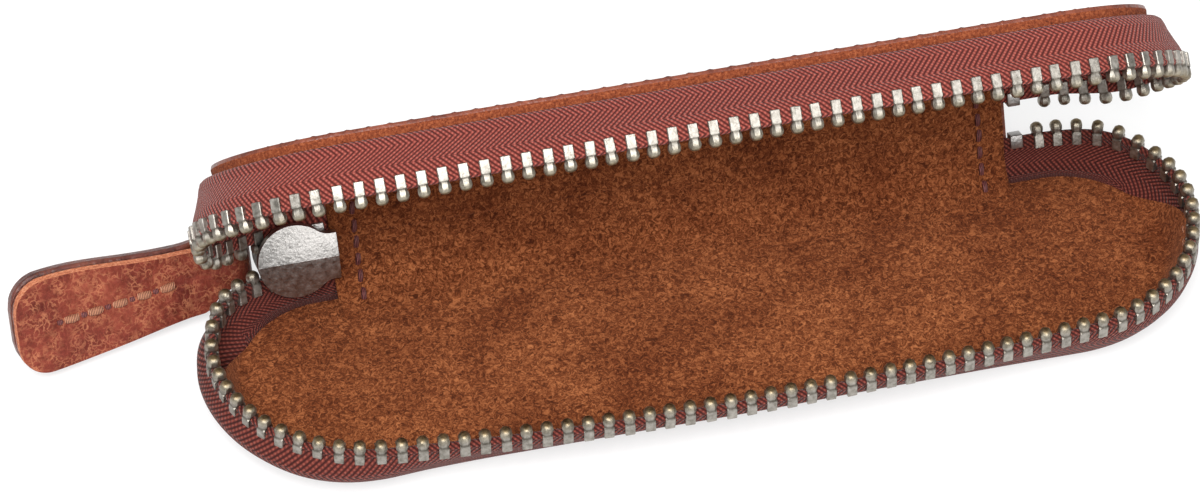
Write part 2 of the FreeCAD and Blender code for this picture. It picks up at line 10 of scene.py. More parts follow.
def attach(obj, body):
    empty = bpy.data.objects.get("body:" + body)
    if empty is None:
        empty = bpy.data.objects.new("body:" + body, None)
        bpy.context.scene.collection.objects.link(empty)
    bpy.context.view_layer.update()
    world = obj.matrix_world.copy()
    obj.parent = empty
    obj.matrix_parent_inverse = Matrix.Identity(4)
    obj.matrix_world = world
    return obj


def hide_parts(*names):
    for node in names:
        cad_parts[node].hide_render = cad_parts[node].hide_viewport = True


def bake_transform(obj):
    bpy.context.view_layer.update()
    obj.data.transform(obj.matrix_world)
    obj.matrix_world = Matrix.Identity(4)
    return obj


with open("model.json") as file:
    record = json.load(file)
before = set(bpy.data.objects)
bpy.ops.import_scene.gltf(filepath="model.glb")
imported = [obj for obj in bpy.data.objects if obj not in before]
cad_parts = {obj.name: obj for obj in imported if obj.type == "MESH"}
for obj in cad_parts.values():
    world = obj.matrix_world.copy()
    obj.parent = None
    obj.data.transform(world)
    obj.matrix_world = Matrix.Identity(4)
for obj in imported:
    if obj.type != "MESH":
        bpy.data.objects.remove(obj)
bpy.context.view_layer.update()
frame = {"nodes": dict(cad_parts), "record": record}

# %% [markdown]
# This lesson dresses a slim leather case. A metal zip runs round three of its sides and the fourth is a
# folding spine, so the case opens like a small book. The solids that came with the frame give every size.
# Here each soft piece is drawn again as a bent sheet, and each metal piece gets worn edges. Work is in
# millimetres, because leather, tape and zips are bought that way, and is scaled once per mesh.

MM = 0.001
JOINTS = {joint["name"]: joint for joint in frame["record"]["behaviour"]["joints"]}

# %% [markdown]
# The camera comes first, so that every later step can be compared with the photograph. Its place was
# found by fitting the teeth of both zip rows, whose spacing is known. A long lens a good way off keeps
# the two long sides nearly parallel, as they are in the picture.

# %% Camera
AZIMUTH = math.radians(-13.39)
ELEVATION = math.radians(46.17)
DISTANCE = 600.1
IMAGE_WIDTH = 1200
FOCAL_PIXELS = 5327.2
SHIFT_RIGHT = -13.0
SHIFT_UP = 5.34
AIM_HEIGHT = 8.4
SENSOR_MM = 36.0

to_camera = Vector((
    math.sin(AZIMUTH) * math.cos(ELEVATION),
    -math.cos(AZIMUTH) * math.cos(ELEVATION),
    math.sin(ELEVATION),
))
to_right = Vector((math.cos(AZIMUTH), math.sin(AZIMUTH), 0))
to_top = to_camera.cross(to_right)
aim = Vector((0, 0, AIM_HEIGHT)) + SHIFT_RIGHT * to_right + SHIFT_UP * to_top
camera_place = aim + DISTANCE * to_camera

camera_data = bpy.data.cameras.new("photo_camera")
camera_data.sensor_fit = "HORIZONTAL"
camera_data.sensor_width = SENSOR_MM
camera_data.lens = FOCAL_PIXELS / IMAGE_WIDTH * SENSOR_MM
camera_data.clip_start = 0.05
camera_data.clip_end = 10
camera = bpy.data.objects.new("photo_camera", camera_data)
camera_turn = Matrix((to_right, to_top, to_camera)).transposed().to_4x4()
camera.matrix_world = Matrix.Translation(camera_place * MM) @ camera_turn
bpy.context.scene.collection.objects.link(camera)
bpy.context.scene.camera = camera
print("camera:", round(camera_data.lens, 1), "mm lens,", DISTANCE, "mm away")

# %% [markdown]
# Two lines run round the case: the zip line, where the teeth stand, and the panel line, where the tape is
# sewn to the leather. Both are a bowed front, two front corners, two back corners and the straight spine.
# A point on a line is named by its run, the distance from the middle of the front, positive to the right.
# Matching runs on the two lines lets a sheet lean from one line to the other.

# %% Zip line and panel line
ZIP_LENGTH = 113.6
ZIP_WIDTH = 31.8
FRONT_CORNER_R = 17.6
FRONT_BOW = 4.2
END_LEAN = 1.7
FRONT_LEAN = 3.8
PANEL_CORNER_R = 15.6
PANEL_BOW = 0.4
BACK_Y = ZIP_WIDTH / 2
PANEL_HALF = ZIP_LENGTH / 2 - END_LEAN


class Outline:
    """A line round the case, symmetrical in X."""

    def __init__(self, half_length, front, corner_r, bow):
        bow_r = half_length ** 2 / (2 * bow)
        bow_y = bow_r - front
        corner_x = half_length - corner_r
        corner_y = bow_y - math.sqrt((bow_r - corner_r) ** 2 - corner_x ** 2)
        back_r = BACK_Y - corner_y
        self.back_x = half_length - back_r
        bow_angle = math.atan2(corner_x, bow_y - corner_y)
        bow_run = bow_r * bow_angle
        corner_run = bow_run + corner_r * (math.pi / 2 - bow_angle)
        back_run = corner_run + back_r * math.pi / 2
        self.ends = [0.0, bow_run, corner_run, back_run, back_run + self.back_x]
        self.arcs = [
            (0.0, bow_y, bow_r, 0.0),
            (corner_x, corner_y, corner_r, bow_angle),
            (self.back_x, corner_y, back_r, math.pi / 2),
        ]

    def at(self, run, offset=0.0):
        """The point at a run, moved outwards by offset, and the angle of the outward direction."""
        side = math.copysign(1.0, run)
        for (x, y, radius, angle), start, end in zip(self.arcs, self.ends, self.ends[1:]):
            if abs(run) <= end:
                turn = angle + (abs(run) - start) / radius
                reach = radius + offset
                return side * (x + reach * math.sin(turn)), y - reach * math.cos(turn), side * turn
        return side * (self.back_x - (abs(run) - self.ends[3])), BACK_Y + offset, side * math.pi


zip_line = Outline(ZIP_LENGTH / 2, BACK_Y, FRONT_CORNER_R, FRONT_BOW)
panel_line = Outline(PANEL_HALF, BACK_Y - FRONT_LEAN, PANEL_CORNER_R, PANEL_BOW)


def panel_run(run):
    """The run on the panel line that belongs to a run on the zip line."""
    return math.copysign(np.interp(abs(run), zip_line.ends, panel_line.ends), run)


CORNER_RUN, BACK_RUN, HALF_RUN = zip_line.ends[2:]
print("zip line runs:", [round(run, 1) for run in zip_line.ends])

# %% [markdown]
# Everything is drawn with the case shut and then opened. The lower half keeps still. Pieces on the spine
# turn back about the lower fold. The lid is the mirror image of the lower half, in the plane across the
# middle of the opened spine, because both folds open by the same angle.

# %% Opening the case
FOLD = np.array(JOINTS["lower_fold"]["pos_m"]) / MM
HALF_ANGLE = math.radians(-JOINTS["lower_fold"]["range_deg"][0])
LEATHER_T = float(FOLD[2])
WALL_HEIGHT = 7.0
MID_Z = LEATHER_T + WALL_HEIGHT


def opened(points, share=1.0):
    """Points turned back about the lower fold by a share of the spine's angle."""
    points = np.asarray(points, float)
    angle = np.asarray(share) * HALF_ANGLE
    y = points[..., 1] - FOLD[1]
    z = points[..., 2] - FOLD[2]
    back = FOLD[1] + y * np.cos(angle) + z * np.sin(angle)
    up = FOLD[2] - y * np.sin(angle) + z * np.cos(angle)
    return np.stack([points[..., 0], back, up], -1)


SPINE_MIDDLE = opened((0, BACK_Y, MID_Z))
SPINE_UP = opened((0, BACK_Y, MID_Z + 1)) - SPINE_MIDDLE


def on_lid(points):
    """The lid's mirror image of points on the lower half."""
    points = np.asarray(points, float)
    height = (points - SPINE_MIDDLE) @ SPINE_UP
    return points - 2 * height[..., None] * SPINE_UP


def lid_direction(vectors):
    """The lid's mirror image of directions on the lower half."""
    return on_lid(vectors) - on_lid(np.zeros(3))


def ease(value, start, end):
    """0 before start, 1 after end, and a smooth step between them."""
    share = np.clip((np.asarray(value, float) - start) / (end - start), 0, 1)
    return share * share * (3 - 2 * share)


print("opened by", round(2 * math.degrees(HALF_ANGLE), 1), "degrees")

# %% [markdown]
# Every sheet is a grid of points. A slab has a grid for each face and a rim between them, and the rim gets
# a second material, because leather shows its raw fibres where it is cut. A tube has a closed section that
# is carried along a run. Both keep plain quads, so they bend well when the case is opened and shut.

# %% Sheets and tubes
FACE, RIM = 0, 1


def show(name, mesh):
    """An object for a mesh, with smooth faces."""
    mesh.polygons.foreach_set("use_smooth", [True] * len(mesh.polygons))
    piece = bpy.data.objects.new(name, mesh)
    bpy.context.scene.collection.objects.link(piece)
    return piece


def new_piece(name, points, faces, materials):
    """A mesh object from points in millimetres."""
    mesh = bpy.data.meshes.new(name)
    mesh.from_pydata((np.asarray(points) * MM).tolist(), [], faces)
    for material in materials:
        mesh.materials.append(material)
    return show(name, mesh)


def face_outwards(piece):
    """Turns the faces of a closed mesh to the outside."""
    shape = bmesh.new()
    shape.from_mesh(piece.data)
    bmesh.ops.recalc_face_normals(shape, faces=shape.faces)
    shape.to_mesh(piece.data)
    shape.free()


def grid_quads(index):
    """Faces between the neighbours in a grid of point numbers."""
    corners = [index[:-1, :-1], index[:-1, 1:], index[1:, 1:], index[1:, :-1]]
    return np.stack(corners, -1).reshape(-1, 4)


def ring_quads(index):
    """Faces between neighbouring rings of point numbers."""
    beside = np.roll(index, -1, axis=1)
    return np.stack([index[:-1], beside[:-1], beside[1:], index[1:]], -1).reshape(-1, 4)


def slab(name, outer, inner, materials, bulge=0.12, wrap=0.3):
    """A sheet between two grids of points; its outer finish wraps over a share of the swollen rim."""
    rows, columns = outer.shape[:2]
    index = np.arange(rows * columns).reshape(rows, columns)
    edge = np.concatenate([index[0], index[1:, -1], index[-1, -2::-1], index[-2:0:-1, 0]])
    inside = index[1:-1, 1:-1]
    row = np.clip(edge // columns, 1, rows - 2) - 1
    column = np.clip(edge % columns, 1, columns - 2) - 1
    flat_outer = outer.reshape(-1, 3)
    flat_inner = inner.reshape(-1, 3)
    out = flat_outer[edge] - flat_outer[inside[row, column]]
    out = out / np.maximum(np.linalg.norm(out, axis=1), 1e-9)[:, None]
    middle = flat_outer[edge] + wrap * (flat_inner[edge] - flat_outer[edge]) + bulge * out
    points = np.concatenate([flat_outer, flat_inner, middle])
    quads = grid_quads(index)
    inner_edge = edge + rows * columns
    middle_edge = np.arange(len(edge)) + 2 * rows * columns
    after = np.roll(np.arange(len(edge)), -1)
    rims = []
    for first, second in ((edge, middle_edge), (middle_edge, inner_edge)):
        rims.append(np.stack([first, first[after], second[after], second], -1))
    faces = np.concatenate([quads, quads[:, ::-1] + rows * columns] + rims)
    piece = new_piece(name, points, faces.tolist(), materials)
    kinds = [FACE] * (2 * len(quads) + len(edge)) + [RIM] * len(edge)
    piece.data.polygons.foreach_set("material_index", kinds)
    face_outwards(piece)
    loops = (middle_edge, inner_edge)
    sharp = {tuple(sorted(pair)) for loop in loops for pair in zip(loop, loop[after])}
    for line in piece.data.edges:
        line.use_edge_sharp = tuple(sorted(line.vertices)) in sharp
    return piece


def tube(name, rings, lengths, materials):
    """A closed section carried along a run, with a length in millimetres for each ring as its UV."""
    count, around = rings.shape[:2]
    index = np.arange(count * around).reshape(count, around)
    quads = ring_quads(index)
    faces = quads.tolist() + [index[0].tolist(), index[-1, ::-1].tolist()]
    piece = new_piece(name, rings.reshape(-1, 3), faces, materials)
    steps = np.linalg.norm(np.roll(rings, -1, axis=1) - rings, axis=2).mean(axis=0)
    across = np.concatenate([[0], np.cumsum(steps)])
    layer = piece.data.uv_layers.new(name="weave")
    for number in range(len(quads)):
        step, side = divmod(number, around)
        corners = ((step, side), (step, side + 1), (step + 1, side + 1), (step + 1, side))
        for loop, (along, place) in zip(piece.data.polygons[number].loop_indices, corners):
            layer.data[loop].uv = (lengths[along], across[place])
    face_outwards(piece)
    return piece


print("helpers for slabs and tubes are ready")

# %% [markdown]
# A finish is a small tree of shader nodes. Colours are written as they look on screen and turned into
# linear light once. Patterns read the place on the object in millimetres, so a scale is the number of
# patterns in a millimetre: a scale of 2 is a grain of half a millimetre, the same on every piece. One
# function adds a node, and a node that is given as an input is linked from its first output in use.

# %% Nodes and colours
MIX = {"data_type": "RGBA"}
MULTIPLY = {"data_type": "RGBA", "blend_type": "MULTIPLY"}


def linear(code):
    """A colour written as RRGGBB, in linear light."""
    levels = [int(code[i:i + 2], 16) / 255 for i in (0, 2, 4)]
    return [c / 12.92 if c <= 0.04045 else ((c + 0.055) / 1.055) ** 2.4 for c in levels] + [1.0]


def add(tree, kind, inputs=None, stops=(), **settings):
    """A new node of a kind, or a node that is there, with its settings, inputs and colour stops."""
    node = tree.nodes.new(kind) if isinstance(kind, str) else kind
    for name, value in settings.items():
        setattr(node, name, value)
    for name, value in (inputs or {}).items():
        if isinstance(value, bpy.types.Node):
            value = next(socket for socket in value.outputs if socket.enabled)
        if isinstance(value, bpy.types.NodeSocket):
            tree.links.new(value, node.inputs[name])
        else:
            node.inputs[name].default_value = value
    elements = node.color_ramp.elements if stops else []
    while len(elements) < len(stops):
        elements.new(0.5)
    for element, (position, code) in zip(elements, stops):
        element.position = position
        element.color = linear(code)
    return node


def blank(name):
    """A material with its tree, its shader and the place on the object in millimetres."""
    material = bpy.data.materials.new(name)
    material.use_nodes = True
    tree = material.node_tree
    metres = add(tree, "ShaderNodeTexCoord").outputs["Object"]
    place = add(tree, "ShaderNodeVectorMath", {0: metres, "Scale": 1 / MM}, operation="SCALE")
    return material, tree, tree.nodes["Principled BSDF"], place


print("helpers for finishes are ready")

# %% [markdown]
# The leather is waxed and dark reddish brown. It lightens where it is bent or scuffed, so the colour comes
# from clouds of 6 mm, a mottle of 1 mm and pale creases. The pull is handled most, so a broken net of
# fine pale scratches lies over its face. The grain is a pattern of 0.6 mm cells, pressed in as bump.

# %% Leather


def scratched(tree, place, colour, scratch):
    """Lays a broken net of fine pale scratches over a colour."""
    wander = add(tree, "ShaderNodeTexNoise", {"Vector": place, "Scale": 0.9, "Detail": 4})
    shift = add(tree, "ShaderNodeVectorMath", {0: wander.outputs["Color"], "Scale": 3.0}, operation="SCALE")
    bent = add(tree, "ShaderNodeVectorMath", {0: place, 1: shift}, operation="ADD")
    cells = add(tree, "ShaderNodeTexVoronoi", {"Vector": bent, "Scale": 1.15}, feature="DISTANCE_TO_EDGE")
    lines = add(tree, "ShaderNodeValToRGB", {"Fac": cells}, [(0.0, "ffffff"), (0.16, "000000")])
    gaps = add(tree, "ShaderNodeTexNoise", {"Vector": place, "Scale": 0.8, "Detail": 2})
    worn = add(tree, "ShaderNodeValToRGB", {"Fac": gaps}, [(0.36, "202020"), (0.64, "b0b0b0")])
    broken = add(tree, "ShaderNodeMix", {0: 1.0, 6: lines, 7: worn}, **MULTIPLY)
    return add(tree, "ShaderNodeMix", {0: broken, 6: colour, 7: linear(scratch)}, **MIX)


def make_leather(name, dark, body, light, scratch=None, gloss=0.35):
    """Waxed leather in three browns."""
    material, tree, shader, place = blank(name)
    cloud = add(tree, "ShaderNodeTexNoise", {
        "Vector": place, "Scale": 0.16, "Detail": 5, "Roughness": 0.62,
    })
    dyed = add(tree, "ShaderNodeValToRGB", {"Fac": cloud}, [(0.3, dark), (0.5, body), (0.95, light)])
    mottle = add(tree, "ShaderNodeTexNoise", {
        "Vector": place, "Scale": 0.9, "Detail": 6, "Roughness": 0.7,
    })
    shade = add(tree, "ShaderNodeValToRGB", {"Fac": mottle}, [(0.3, "a0948c"), (0.62, "ffffff")])
    mottled = add(tree, "ShaderNodeMix", {0: 0.75, 6: dyed, 7: shade}, **MULTIPLY)
    crease = add(tree, "ShaderNodeTexNoise", {
        "Vector": place, "Scale": 0.75, "Detail": 5, "Distortion": 1.5,
    })
    lines = add(tree, "ShaderNodeValToRGB", {"Fac": crease}, [
        (0.46, "000000"), (0.5, "909090"), (0.54, "000000"),
    ])
    colour = add(tree, "ShaderNodeMix", {0: lines, 6: mottled, 7: linear(light)}, **MIX)
    if scratch:
        colour = scratched(tree, place, colour, scratch)
    grain = add(tree, "ShaderNodeTexVoronoi", {"Vector": place, "Scale": 1.7})
    pores = add(tree, "ShaderNodeTexNoise", {"Vector": place, "Scale": 4.0, "Detail": 4})
    height = add(tree, "ShaderNodeMath", {0: grain, 1: pores}, operation="ADD")
    relief = add(tree, "ShaderNodeBump", {"Height": height, "Distance": 0.07 * MM})
    matt = add(tree, "ShaderNodeValToRGB", {"Fac": mottle}, [(0.3, "8c8c8c"), (0.7, "b4b4b4")])
    add(tree, shader, {
        "Base Color": colour, "Roughness": matt, "Normal": relief, "Specular IOR Level": gloss,
    })
    return material


leather = make_leather("waxed_leather", "54281f", "7a3f2e", "9a573c")
strap_leather = make_leather("scuffed_strap_leather", "55211c", "723227", "8e4836", "c4835e", 0.1)
strap_back_leather = make_leather("dark_strap_leather", "3c1c1a", "5f3028", "84492f")
print("leather finishes:", leather.name, strap_leather.name, strap_back_leather.name)

# %% [markdown]
# Where leather is cut, the fibres show: lighter, more orange and granular, with bright specks of about
# 0.3 mm, and almost no gloss. Single fibres would be too fine to see, so the rim of each slab has a
# material of its own with a coarse noise instead.

# %% Cut edge


def make_cut_edge(name, dark, body, light):
    """Raw fibres in three browns."""
    material, tree, shader, place = blank(name)
    fibres = add(tree, "ShaderNodeTexNoise", {
        "Vector": place, "Scale": 3.2, "Detail": 8, "Roughness": 0.75,
    })
    colour = add(tree, "ShaderNodeValToRGB", {"Fac": fibres}, [(0.32, dark), (0.5, body), (0.68, light)])
    relief = add(tree, "ShaderNodeBump", {"Height": fibres, "Distance": 0.12 * MM})
    add(tree, shader, {
        "Base Color": colour, "Normal": relief, "Roughness": 0.9, "Specular IOR Level": 0.2,
    })
    return material


cut_edge = make_cut_edge("leather_cut_edge", "3a170d", "77381f", "a35f3b")
strap_edge = make_cut_edge("strap_cut_edge", "7a3f2c", "b46a4a", "d49a78")
print("cut edges:", cut_edge.name, strap_edge.name)

# %% [markdown]
# Suede has a short nap that lies in all directions. Worm-like fibres of half a millimetre in three browns
# give it that look, coarser than real ones so that they show, and a little sheen lifts the colour where
# the light grazes it.

# %% Suede
suede, tree, shader, place = blank("brown_suede")
bend = add(tree, "ShaderNodeTexNoise", {"Vector": place, "Scale": 0.7, "Detail": 3})
warp = add(tree, "ShaderNodeVectorMath", {0: bend.outputs["Color"], "Scale": 1.1}, operation="SCALE")
wormy = add(tree, "ShaderNodeVectorMath", {0: place, 1: warp}, operation="ADD")
fibre = add(tree, "ShaderNodeTexNoise", {
    "Vector": wormy, "Scale": 2.1, "Detail": 6, "Roughness": 0.68, "Distortion": 1.2,
})
patch = add(tree, "ShaderNodeTexNoise", {"Vector": place, "Scale": 0.12, "Detail": 3})
nap = add(tree, "ShaderNodeValToRGB", {"Fac": fibre}, [(0.38, "45200f"), (0.5, "723d21"), (0.63, "a5663e")])
tone = add(tree, "ShaderNodeValToRGB", {"Fac": patch}, [(0.35, "c8b8b0"), (0.65, "ffffff")])
colour = add(tree, "ShaderNodeMix", {0: 0.8, 6: nap, 7: tone}, **MULTIPLY)
relief = add(tree, "ShaderNodeBump", {"Height": fibre, "Distance": 0.1 * MM})
add(tree, shader, {
    "Base Color": colour, "Normal": relief, "Roughness": 0.95, "Specular IOR Level": 0.1,
    "Sheen Weight": 0.25, "Sheen Roughness": 0.5, "Sheen Tint": linear("c08468"),
})
print("suede:", suede.name)

# %% [markdown]
# Zip tape is a twill woven as a herringbone: slanting ribs that change direction every few millimetres.
# The tape's UV is in millimetres, along the zip and across the tape, so one wave makes the ribs, the
# folded distance across the tape turns them into chevrons, and a second wave breaks them into dashes. The
# lower tape has the same weave in darker colours, which are painted shade: it sits in the case's own shade.

# %% Zip tape
RIB_PITCH = 0.66
CHEVRON_WIDTH = 5.6
DASH_LENGTH = 0.66


def wave(tree, distance, pitch):
    """A wave of a real pitch along a distance, from 0 to 1."""
    turns = add(tree, "ShaderNodeMath", {0: distance, 1: 2 * math.pi / pitch}, operation="MULTIPLY")
    swing = add(tree, "ShaderNodeMath", {0: turns}, operation="SINE")
    return add(tree, "ShaderNodeMapRange", {"Value": swing, "From Min": -1.0})


def make_tape(name, dark, body, light):
    """Woven polyester tape in three reds."""
    material, tree, shader, place = blank(name)
    weave = add(tree, "ShaderNodeUVMap", uv_map="weave")
    axes = add(tree, "ShaderNodeSeparateXYZ", {"Vector": weave}).outputs
    folded = add(tree, "ShaderNodeMath", {0: axes["Y"], 1: CHEVRON_WIDTH / 2}, operation="PINGPONG")
    slant = add(tree, "ShaderNodeMath", {0: axes["X"], 1: folded}, operation="ADD")
    across = add(tree, "ShaderNodeMath", {0: axes["X"], 1: folded}, operation="SUBTRACT")
    rib = wave(tree, slant, RIB_PITCH)
    dash = add(tree, "ShaderNodeMapRange", {"Value": wave(tree, across, DASH_LENGTH), "To Min": 0.45})
    yarn = add(tree, "ShaderNodeTexNoise", {"Vector": place, "Scale": 3.0, "Detail": 5, "Roughness": 0.7})
    fuzz = add(tree, "ShaderNodeMapRange", {"Value": yarn, "From Min": 0.25, "To Min": 0.45})
    broken = add(tree, "ShaderNodeMath", {0: rib, 1: dash}, operation="MULTIPLY")
    height = add(tree, "ShaderNodeMath", {0: broken, 1: fuzz}, operation="MULTIPLY")
    colour = add(tree, "ShaderNodeValToRGB", {"Fac": height}, [(0.02, dark), (0.3, body), (0.75, light)])
    relief = add(tree, "ShaderNodeBump", {"Height": height, "Distance": 0.2 * MM})
    add(tree, shader, {
        "Base Color": colour, "Normal": relief, "Roughness": 0.85, "Specular IOR Level": 0.2,
        "Sheen Weight": 0.1, "Sheen Roughness": 0.4,
    })
    return material


zip_tape = make_tape("burgundy_zip_tape", "431814", "7f3931", "b46557")
# The lower tape's darker colours are painted shade for the case's own shade on it.
shaded_zip_tape = make_tape("painted_shade_zip_tape", "300f0c", "5f2720", "8c4a3c")
print("zip tapes:", zip_tape.name, shaded_zip_tape.name, "ribs every", RIB_PITCH, "mm")

# %% [markdown]
# The metal is nickel plate that was tumbled, so it is matt, with uneven patches of about 0.7 mm and finer
# pits. Each tooth gets painted shade at its neck and shows warm brass at the tip, where the plate has
# rubbed off.
# That shade and wear could be painted tooth by tooth. Here each tooth carries its height, and one ramp does
# them all.

# %% Metals
TOOTH_HEIGHT = 3.0


def make_metal(name, dark, body, light, rough):
    """Tumbled nickel plate in three greys, around a roughness."""
    material, tree, shader, place = blank(name)
    dents = add(tree, "ShaderNodeTexNoise", {
        "Vector": place, "Scale": 1.4, "Detail": 6, "Roughness": 0.65,
    })
    colour = add(tree, "ShaderNodeValToRGB", {"Fac": dents}, [(0.34, dark), (0.52, body), (0.7, light)])
    matt = add(tree, "ShaderNodeMapRange", {
        "Value": dents, "From Min": 0.3, "From Max": 0.7, "To Min": rough - 0.08, "To Max": rough + 0.1,
    })
    pits = add(tree, "ShaderNodeTexNoise", {"Vector": place, "Scale": 3.0, "Detail": 5})
    relief = add(tree, "ShaderNodeBump", {"Height": pits, "Distance": 0.05 * MM})
    add(tree, shader, {"Base Color": colour, "Roughness": matt, "Normal": relief, "Metallic": 1.0})
    return material


def neck_shade_and_rub_off(material):
    """Paints shade on a tooth's neck and shows brass at its tip, where the plate has rubbed off, by the
    height that each tooth carries.
    """
    tree = material.node_tree
    shader = tree.nodes["Principled BSDF"]
    plate = shader.inputs["Base Color"].links[0].from_socket
    height = add(tree, "ShaderNodeAttribute", attribute_name="height").outputs["Fac"]
    share = add(tree, "ShaderNodeMapRange", {
        "Value": height, "From Min": -TOOTH_HEIGHT, "From Max": 0.0,
    })
    # The dark stop at 0.57 is painted shade at the neck; the brass stop at the tip is rubbed-off plate.
    worn = add(tree, "ShaderNodeValToRGB", {"Fac": share}, [
        (0.5, "f4f2ee"), (0.57, "8f887d"), (0.68, "f6f4ef"), (0.92, "efe6d0"), (1.0, "b89a5c"),
    ])
    add(tree, shader, {"Base Color": add(tree, "ShaderNodeMix", {0: 0.85, 6: plate, 7: worn}, **MULTIPLY)})


tooth_metal = make_metal("rubbed_nickel_with_neck_shade", "807c75", "a4a09a", "bbb7b1", 0.47)
neck_shade_and_rub_off(tooth_metal)
slider_metal = make_metal("tumbled_nickel", "8f8c89", "a5a29f", "b8b5b2", 0.38)
print("metals:", tooth_metal.name, slider_metal.name)

# %% [markdown]
# Thread is thick, waxed polyester with a twist that shows as fine slanting lines. The panels and the spine
# are sewn in burgundy, the linings and the pull in a paler brown. Strands could be modelled, but a stitch
# is only two millimetres long, so a wave in colour and bump is enough for the twist.

# %% Thread


def make_thread(name, dark, light):
    """Twisted thread in two shades."""
    material, tree, shader, place = blank(name)
    ply = add(tree, "ShaderNodeTexWave", {
        "Vector": place, "Scale": 1.6, "Distortion": 2.0, "Detail": 2,
    }).outputs["Fac"]
    colour = add(tree, "ShaderNodeValToRGB", {"Fac": ply}, [(0.2, dark), (0.8, light)])
    relief = add(tree, "ShaderNodeBump", {"Height": ply, "Distance": 0.08 * MM})
    add(tree, shader, {"Base Color": colour, "Normal": relief, "Roughness": 0.6})
    return material


dark_thread = make_thread("burgundy_thread", "3c1718", "7c4442")
pale_thread = make_thread("waxed_thread", "6a3d2e", "b98060")
print("threads:", dark_thread.name, pale_thread.name)

# %% [markdown]
# The cover is one piece of leather on the real case: two panels joined by the spine. It is drawn as two
# skins that meet in the middle of the spine. Each is a slab whose rows run along the case. The rows cross
# the flat panel, go round the fold on a small arc and climb half of the spine.

# %% Leather cover
LEATHER_STEP = 1.3
FOLD_R = 2.4
SPINE_END = zip_line.back_x - 5.05
COLUMNS = 121
PANEL_ROWS, SPINE_ROWS = 56, 26
NOTCH_START, NOTCH_END = 0.02, 0.15
turn_up = math.pi / 2 - HALF_ANGLE
fold_corner = FOLD[1] - FOLD[2] * math.tan(HALF_ANGLE)
bend_start = fold_corner - FOLD_R * math.tan(turn_up / 2)
bend_end = bend_start + FOLD_R * turn_up
half_spine = bend_end + LEATHER_T / math.cos(HALF_ANGLE) - FOLD_R * math.tan(turn_up / 2) + WALL_HEIGHT


def cover_section(length, depth):
    """The place on the cover at a length from the front, at a depth under its outer face."""
    if length <= bend_start:
        return length, depth
    angle = min((length - bend_start) / FOLD_R, turn_up)
    beyond = max(length - bend_end, 0.0)
    y = bend_start + (FOLD_R - depth) * math.sin(angle) + beyond * math.cos(turn_up)
    z = FOLD_R - (FOLD_R - depth) * math.cos(angle) + beyond * math.sin(turn_up)
    return y, z


def cover_rows():
    """Length from the front and half width of each row of the cover."""
    runs = np.linspace(panel_line.ends[1], panel_line.ends[3], PANEL_ROWS)
    places = [panel_line.at(run, -LEATHER_STEP) for run in runs]
    rows = [(y, x) for x, y, _ in places]
    back = rows[-1][0]
    rows += [(back + NOTCH_START, SPINE_END)]
    rows += [(length, SPINE_END) for length in np.linspace(back + NOTCH_END, half_spine, SPINE_ROWS)]
    return rows


def cover_grid(depth):
    """A grid of points on the cover at one depth."""
    across = np.linspace(-1, 1, COLUMNS)
    grid = []
    for length, half in cover_rows():
        y, z = cover_section(length, depth)
        grid.append([(half * share, y, z) for share in across])
    return np.array(grid)


def bend_pair(lower, upper):
    """Bakes the places of a lower piece and its mirror image on the lid into their meshes."""
    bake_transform(lower)
    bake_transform(upper)


outer_face, inner_face = cover_grid(0.0), cover_grid(LEATHER_T)
lower_cover = slab("lower_cover", outer_face, inner_face, [leather, cut_edge])
upper_cover = slab("upper_cover", on_lid(outer_face), on_lid(inner_face), [leather, cut_edge])
bend_pair(lower_cover, upper_cover)
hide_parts("bottom_cover", "spine_cover")
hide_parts("top_cover", "spine_cover")
print("cover rows:", len(cover_rows()), "fold radius", FOLD_R, "mm")

# %% [markdown]
# Each zip tape is a strip of woven cloth. It comes out between leather and lining, turns up round a soft
# heel, leans out to the zip line and stands upright where the teeth grip it. At the back corners the same
# strip twists until it lies flat on the spine, and its seam allowance gets narrower. The slack lower tape
# swells outwards, and the weight of the pull makes the left end sag. A tube with a changing section
# follows all of this.

# %% Zip tapes
TAPE_HALF = 0.3
TOOTH_TOP = MID_Z + 0.6
TAPE_END = HALF_RUN - 37.5
TAPE_STEPS = 281
SEAM_ALLOWANCE = 5.0
ALLOWANCE_LOST = 0.8
UNDER_LINING = -0.5
WALL_SECTION = np.array([
    (0.0, -SEAM_ALLOWANCE, 1.45), (0.0, -1.0, 1.45), (0.0, -0.1, 1.46), (0.0, 0.28, 1.75),
    (0.06, 0.42, 2.3), (0.2, 0.42, 3.1), (0.5, 0.38, 4.2), (0.8, 0.34, 5.2), (1.0, 0.3, 6.1),
    (1.0, 0.3, 6.9), (1.0, 0.5, 7.2), (1.0, 0.34, 7.6), (1.0, 0.0, 7.74), (1.0, -0.34, 7.6),
    (1.0, -0.5, 7.2), (1.0, -0.3, 6.9), (1.0, -0.3, 6.2), (0.8, -0.28, 5.4), (0.5, -0.24, 4.45),
    (0.2, -0.2, 3.35), (0.05, -0.3, 2.5), (0.0, -1.0, 2.05), (0.0, -SEAM_ALLOWANCE, 2.05),
])
OPEN_DROP = 1.5
LEFT_BELLY, RIGHT_BELLY = 2.3, 1.0
BELLY_FOOT, BELLY_HEIGHT = 1.2, 5.6
SAG = 1.4
# Runs over which the tape changes, as distances from the middle of the front.
LEFT_TWIST = (BACK_RUN - 19, BACK_RUN - 5)
RIGHT_TWIST = (BACK_RUN - 13, BACK_RUN + 2)
LEFT_PART, LEFT_JOIN = (BACK_RUN - 17, BACK_RUN - 7), (BACK_RUN - 3, BACK_RUN)
RIGHT_PART = (BACK_RUN - 12, BACK_RUN)
BELLY_GROW, BELLY_SHRINK = (28, 52), (BACK_RUN - 16, BACK_RUN - 4)
NARROWING = (BACK_RUN - 16, BACK_RUN - 6)
SAG_GROW, SAG_SHRINK = (BACK_RUN - 26, BACK_RUN - 6), (BACK_RUN + 3, BACK_RUN + 8)
# Heights between which the wall of the tape follows its upper edge.
TWIST_HEIGHTS = (2.0, 6.0)
DROP_HEIGHTS = (3.0, 6.5)


